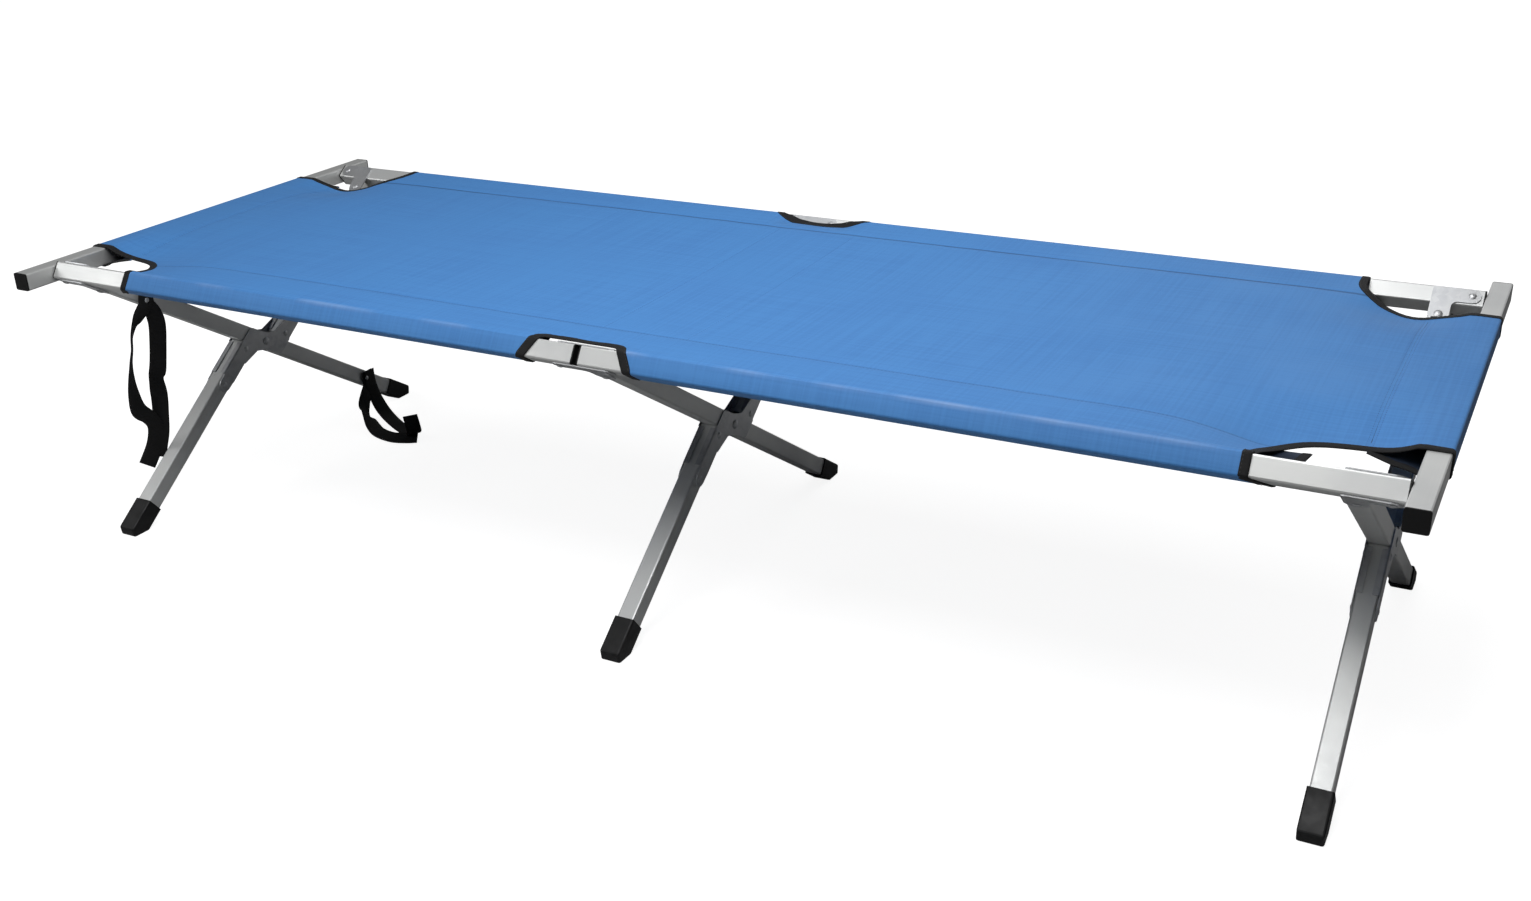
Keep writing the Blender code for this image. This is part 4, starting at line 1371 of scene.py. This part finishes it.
    def build_binding_stitches(self) -> Piece:
        """Sew the binding down along its inner edge.

        Returns:
            The stitches' piece.
        """
        sewn = Stitches(self.place, self.cloth / 2.0 + self.binding_thickness, self.binding_thread)
        half, pitch, margin = self.binding_thread.length / 2.0, self.binding_thread.pitch, self.binding_margin
        for edge, signed in self.bound_edges():
            inset = math.copysign(abs(signed) - 0.002, signed)
            ring = np.array(edge)
            spans = np.concatenate([[0.0], np.cumsum(np.linalg.norm(np.diff(ring, axis=0), axis=1))])
            for middle in np.arange(margin, spans[-1] - margin, pitch):
                ends = []
                for travel in (middle - half, middle + half):
                    here, ahead = (
                        np.array([np.interp(one, spans, ring[:, axis]) for axis in (0, 1)])
                        for one in (travel, travel + 0.001)
                    )
                    tangent = (ahead - here) / np.linalg.norm(ahead - here)
                    ends.append(tuple(here + np.array((-tangent[1], tangent[0])) * inset))
                sewn.add(*ends)
        thread = SewingThread("black_thread", (0.020, 0.020, 0.022), (0.05, 0.05, 0.052))
        return new_piece("binding_stitches", sewn.mesh(), thread.make(), 50.0)

    def build(self) -> list[Piece]:
        """Make the bed's pieces in place of the imported cloth.

        Returns:
            The pieces.
        """
        sheet = self.build_sheet()
        trim = [self.build_binding(), self.build_stitches(), self.build_binding_stitches()]
        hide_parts("bed_fabric")
        for piece in (sheet, *trim):
            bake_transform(piece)
        across = self.near.length + self.far.length
        self.flat_area()
        LOG.info("bed cloth cut: %.3f by %.3f m, %.3f m2", across, 2.0 * self.ends.length, self.flat_area())
        return [sheet, *trim]


@dataclass
class Stitches:
    """Short stitches laid on a surface."""

    place: Callable[[float, float, float], Point3]
    surface: float
    thread: Stitching
    points: list[Point3] = field(default_factory=list)
    faces: Faces = field(default_factory=list)

    def add(self, start: Point2, end: Point2) -> None:
        """Lay one stitch.

        Args:
            start: flat point where it comes up.
            end: flat point where it goes down.
        """
        tangent = (Vector(end) - Vector(start)).normalized()
        side = Vector((-tangent.y, tangent.x)) * self.thread.half_width
        base = len(self.points)
        for share, sunk in ((0.0, True), (0.25, False), (0.75, False), (1.0, True)):
            middle = Vector(start).lerp(Vector(end), share)
            for offset, lift in ((side, -0.2), (Vector((0.0, 0.0)), 1.0), (-side, -0.2)):
                spot = middle + offset
                up = self.surface + self.thread.height * (-0.8 if sunk else lift)
                self.points.append(self.place(spot.x, spot.y, up))
        for row in range(3):
            for count in range(2):
                first = base + row * 3 + count
                self.faces.append((first, first + 1, first + 4, first + 3))

    def mesh(self) -> Mesh:
        """Make the stitches' mesh."""
        return mesh_of(self.points, self.faces)


# Webbing straps


@dataclass(frozen=True)
class Webbing:
    """One run of webbing.

    Its stations are places from the rivet in shares of the strap's hang, with the azimuth and tilt of its face
    in degrees.
    """

    stations: Sequence[tuple[float, float, float, float, float]]
    width: float = 0.025
    thickness: float = 0.0012
    smoothing: int = 7
    section: tuple[float, ...] = (-1.0, -0.93, -0.5, 0.0, 0.5, 0.93, 1.0)
    selvedge: float = 0.45

    def route(self, hang: float) -> list[Vector]:
        """A smooth route through the stations.

        Args:
            hang: the strap's hang in metres.

        Returns:
            Its stations of place, azimuth and tilt, in metres and radians.
        """
        knots = []
        for x, y, z, turn, tilt in self.stations:
            knots.append(Vector((x * hang, y * hang, z * hang, math.radians(turn), math.radians(tilt))))
        ends = [knots[0], *knots, knots[-1]]
        route = []
        for a, b, c, d in zip(ends, ends[1:], ends[2:], ends[3:]):
            for step in range(self.smoothing):
                route.append(curve_through(a, b, c, d, step / self.smoothing))
        return [*route, knots[-1]]

    def mesh(self, origin: Vector, hang: float, offset: float) -> Mesh:
        """Sweep the webbing's woven section along its route.

        Args:
            origin: the rivet's place.
            hang: the strap's hang in metres.
            offset: how far this run lies off the leg.

        Returns:
            The closed mesh.
        """
        half, thick = self.width / 2.0, self.thickness / 2.0
        lifts = (thick * (self.selvedge if abs(share) == 1.0 else 1.0) for share in self.section)
        section = [(share * half, lift) for share, lift in zip(self.section, lifts)]
        section += [(across, -lift) for across, lift in reversed(section)]
        route = self.route(hang)
        points: list[Point3] = []
        flat: list[Point2] = []
        travel = 0.0
        for index, here in enumerate(route):
            before, after = route[max(index - 1, 0)], route[min(index + 1, len(route) - 1)]
            tangent = Vector(after[:3]) - Vector(before[:3])
            travel += (Vector(here[:3]) - Vector(before[:3])).length
            turn, tilt = here[3], here[4]
            face = Vector((math.cos(turn) * math.cos(tilt), math.sin(turn) * math.cos(tilt), math.sin(tilt)))
            width = tangent.cross(face).normalized()
            normal = width.cross(tangent).normalized()
            middle = origin + Vector(here[:3]) + Vector((offset, 0.0, 0.0))
            for across, lift in section:
                points.append(tuple(middle + width * across + normal * lift))
                flat.append((travel, across + half))
        return mesh_of(points, swept_faces(0, len(route), len(section)), flat)


@dataclass
class TransportStrap:
    """A carrying strap of two runs of webbing held to the left leg by one rivet."""

    name: str
    place: Point2
    hang: float
    under: Webbing
    over: Webbing
    tube: Tube
    standoff: float = 0.003
    layer: float = 0.0016

    def origin(self) -> Vector:
        """The rivet's place on the side of the left end's leg."""
        return Vector((-self.tube.station + self.tube.size / 2.0 + self.standoff, *self.place))

    def build(self, tape: Material, steel: Material) -> list[Piece]:
        """Make both runs and their rivet.

        Args:
            tape: the webbing's finish.
            steel: the rivet's finish.

        Returns:
            The pieces.
        """
        under = new_piece(f"{self.name}_under", self.under.mesh(self.origin(), self.hang, 0.0), tape)
        over = new_piece(f"{self.name}_over", self.over.mesh(self.origin(), self.hang, self.layer), tape)
        rivet = new_piece(f"{self.name}_rivet", self.rivet_mesh(), steel)
        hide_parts(self.name)
        for piece, slot in ((under, Slot.WEBBING), (over, Slot.WEBBING), (rivet, Slot.PLATED_STEEL)):
            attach(piece, Body.NEAR_FRAME.value)
        return [under, over, rivet]

    def rivet_mesh(self) -> Mesh:
        """Turn the rivet: a domed head with a rolled rim, a shank and a set tail inside the leg.

        Returns:
            The rivet's mesh.
        """
        top = self.layer + 0.0006
        tail = -self.standoff - 0.0018
        head = ((0.0004, 0.0017), (0.0016, 0.0016), (0.0030, 0.0010), (0.0039, 0.0002), (0.0037, -0.0001))
        profile = [(radius, top + rise) for radius, rise in (*head, (0.0020, -0.0001))]
        set_tail = ((0.0020, 0.0), (0.0032, 0.0), (0.0024, -0.0018), (0.0004, -0.002))
        profile += [(radius, tail + rise) for radius, rise in set_tail]
        sides = 24
        points: list[Point3] = []
        for radius, height in profile:
            for side in range(sides):
                turn = 2.0 * math.pi * side / sides
                spot = Vector((height, radius * math.cos(turn), radius * math.sin(turn)))
                points.append(tuple(self.origin() + spot))
        return mesh_of(points, swept_faces(0, len(profile), sides))


# The metal frame

RUNS = {
    "rail_": Run.ALONG_X,
    "end_bar": Run.ALONG_Y,
    "straight_leg": Run.STRAIGHT_LEG,
    "upper_leg": Run.JOGGED_LEG,
    "lower_leg": Run.JOGGED_LEG,
}


@dataclass
class CotFrame:
    """The carried frame: every tube, plate, pin, plug and foot gets its finish."""

    nodes: dict[str, Piece]
    steel: Material

    def dress(self) -> None:
        """Give the carried tube, plated steel and black plastic nodes their finishes."""
        tubes = {run: DrawnTube(f"drawn_tube_{run.name.lower()}", run).make() for run in Run}
        plastic = MouldedPlastic().make()
        slots = {part["node"]: part["material_slot"] for part in frame["record"]["subparts"]}
        for name, node in self.nodes.items():
            slot = Slot(slots[name])
            if slot is Slot.TUBE:
                self.paint(node, tubes[next(run for start, run in RUNS.items() if name.startswith(start))])
            elif slot is Slot.PLATED_STEEL:
                self.paint(node, self.steel)
            elif slot is Slot.BLACK_PLASTIC:
                self.paint(node, plastic)

    def paint(self, node: Piece, material: Material) -> None:
        """Put a finish on a carried node.

        Args:
            node: the node's object.
            material: its finish.
        """
        if not node.material_slots:
            node.data.materials.append(None)
        for slot in node.material_slots:
            slot.link = "OBJECT"
            slot.material = material
        LOG.info("%s: %s", node.name, material.name)


# Studio and camera


@dataclass
class Studio:
    """A pale floor, soft light and the camera at the photograph's angle."""

    eye: Point3 = (1.062, -1.819, 1.085)
    azimuth: float = 28.82
    elevation: float = 23.58
    roll: float = -1.98
    lens: float = 38.28
    floor_size: float = 40.0

    def build(self) -> None:
        """Set up the floor, the lamps, the world and the camera."""
        self.add_floor()
        self.add_world()
        self.add_lamp("side", (-2.9, -1.9, 1.9), (-0.2, 0.0, 0.3), 1.6, 25.0)
        self.add_lamp("front", (0.15, -1.1, 2.5), (0.1, 0.0, 0.3), 1.4, 40.0)
        self.add_lamp("top", (0.10, 0.1, 1.9), (0.1, 0.0, 0.3), 1.2, 13.0)
        self.add_lamp("back", (0.6, 3.4, 1.9), (0.3, 0.0, 0.3), 2.6, 15.0)
        self.add_camera()
        bpy.context.scene.view_settings.view_transform = "Standard"

    def add_floor(self) -> None:
        """Lay the floor."""
        half = self.floor_size / 2.0
        corners = [(-half, -half, 0.0), (half, -half, 0.0), (half, half, 0.0), (-half, half, 0.0)]
        floor = bpy.data.objects.new("studio_floor", mesh_of(corners, [(0, 1, 2, 3)]))
        floor.data.materials.append(PaleFloor().make())
        bpy.context.scene.collection.objects.link(floor)

    def add_world(self) -> None:
        """Light the surroundings softly and show them white."""
        world = bpy.data.worlds.new("studio")
        bpy.context.scene.world = world
        work = NodeWork(world)
        strength = work.spread(work.seen(), 0.03, 1.0, 0.0, 1.0)
        work.feed(work.shader, Color=(1.0, 1.0, 1.0, 1.0), Strength=strength)

    def add_lamp(self, name: str, place: Point3, target: Point3, size: float, power: float) -> None:
        """Hang a large soft lamp.

        Args:
            name: the lamp's name.
            place: where it hangs.
            target: what it points at.
            size: its side in metres.
            power: its power in watts.
        """
        light = bpy.data.lights.new(name, "AREA")
        light.energy = power
        light.size = size
        lamp = bpy.data.objects.new(name, light)
        lamp.location = place
        lamp.rotation_euler = (Vector(target) - Vector(place)).to_track_quat("-Z", "Y").to_euler()
        bpy.context.scene.collection.objects.link(lamp)

    def add_camera(self) -> None:
        """Set the camera at the photograph's angle."""
        azimuth, elevation, roll = (math.radians(turn) for turn in (self.azimuth, self.elevation, self.roll))
        level = Vector((math.cos(azimuth), math.sin(azimuth), 0.0))
        ahead = Vector((-level.y, level.x, 0.0)) * math.cos(elevation) - Vector((0.0, 0.0, math.sin(elevation)))
        upright = level.cross(ahead)
        right = level * math.cos(roll) + upright * math.sin(roll)
        up = upright * math.cos(roll) - level * math.sin(roll)
        turned = Matrix((right, up, -ahead)).transposed().to_4x4()
        data = bpy.data.cameras.new("camera")
        data.lens = self.lens
        data.sensor_width = 36.0
        data.clip_start = 0.01
        data.clip_end = 100.0
        camera = bpy.data.objects.new("camera", data)
        camera.matrix_world = Matrix.Translation(self.eye) @ turned
        bpy.context.scene.collection.objects.link(camera)
        bpy.context.scene.camera = camera


UPPER_STRAP = (
    Webbing(
        (
            (0, 0.008, 0.038, 0, 0), (0, 0.008, -0.034, 0, 0), (0.004, 0.03, -0.083, -15, 0),
            (0.008, 0.038, -0.155, -40, 0), (0, 0.025, -0.272, -55, 0), (-0.023, 0.013, -0.411, -52, 0),
            (-0.038, -0.002, -0.487, -10, 0), (-0.057, 0.013, -0.592, -45, 0),
            (-0.083, 0.021, -0.706, -58, 0), (-0.113, 0.026, -0.823, -58, 0),
            (-0.143, 0.019, -0.917, -55, 0), (-0.158, 0.004, -0.989, -50, 0),
        )
    ),
    Webbing(
        (
            (0, -0.004, 0.034, 0, 0), (0, -0.019, -0.023, 2, 0), (0.004, -0.064, -0.057, 15, 0),
            (0.011, -0.117, -0.094, 36, 0), (0.015, -0.158, -0.162, 42, 0),
            (0.008, -0.17, -0.242, 42, 0), (0, -0.189, -0.321, 38, 0), (-0.019, -0.192, -0.411, 26, 0),
            (-0.045, -0.177, -0.509, 10, 0), (-0.083, -0.132, -0.63, -12, -8),
            (-0.117, -0.038, -0.725, -42, -12), (-0.14, 0.008, -0.808, -58, 0),
            (-0.174, 0.004, -0.921, -55, 0), (-0.189, -0.064, -1.026, -42, 0),
        )
    ),
)

LOWER_STRAP = (
    Webbing(
        (
            (0, 0.043, 0.172, 0, 0), (0, 0.043, -0.186, 0, 0), (0.043, -0.129, -0.416, -12, 0),
            (0.086, -0.287, -0.617, -12, 5), (0.186, -0.387, -0.789, 15, 20),
            (0.43, -0.531, -0.825, 10, 50), (0.789, -0.803, -0.895, -30, 62),
            (1.162, -1.018, -0.92, -46, 66), (1.649, -1.119, -0.92, -46, 66),
            (2.022, -1.018, -0.92, -46, 66), (2.252, -0.889, -0.92, -46, 68),
        )
    ),
    Webbing(
        (
            (0, 0.115, 0.172, 0, 0), (0, 0.129, -0.143, 0, 0), (0.043, 0.143, -0.445, -8, 5),
            (0.258, 0.086, -0.746, -20, 35), (0.602, -0.057, -0.918, -27, 75),
            (1.162, -0.373, -0.947, -27, 90), (1.606, -0.602, -0.941, -27, 90),
            (1.965, -0.775, -0.911, -27, 100), (2.151, -0.889, -0.789, -35, 140),
            (2.194, -0.961, -0.574, -48, 168), (2.166, -0.99, -0.301, -58, 178),
        )
    ),
)


def main() -> None:
    """Build the dressed cot."""
    logging.basicConfig(level=logging.INFO, format="%(message)s")
    Studio().build()
    tube = Tube()
    steel = PlatedSheet().make()
    CotFrame(frame["nodes"], steel).dress()
    StretchedBed(tube).build()
    webbing = WovenTape("webbing", ribs_per_metre=420.0, rows_per_metre=260.0).make()
    straps = (
        TransportStrap("webbing_strap_upper", (-0.22197, 0.34900), 0.265, *UPPER_STRAP, tube),
        TransportStrap("webbing_strap_lower", (0.21576, 0.06972), 0.06972, *LOWER_STRAP, tube),
    )
    for strap in straps:
        strap.build(webbing, steel)


if __name__ == "__main__":
    main()
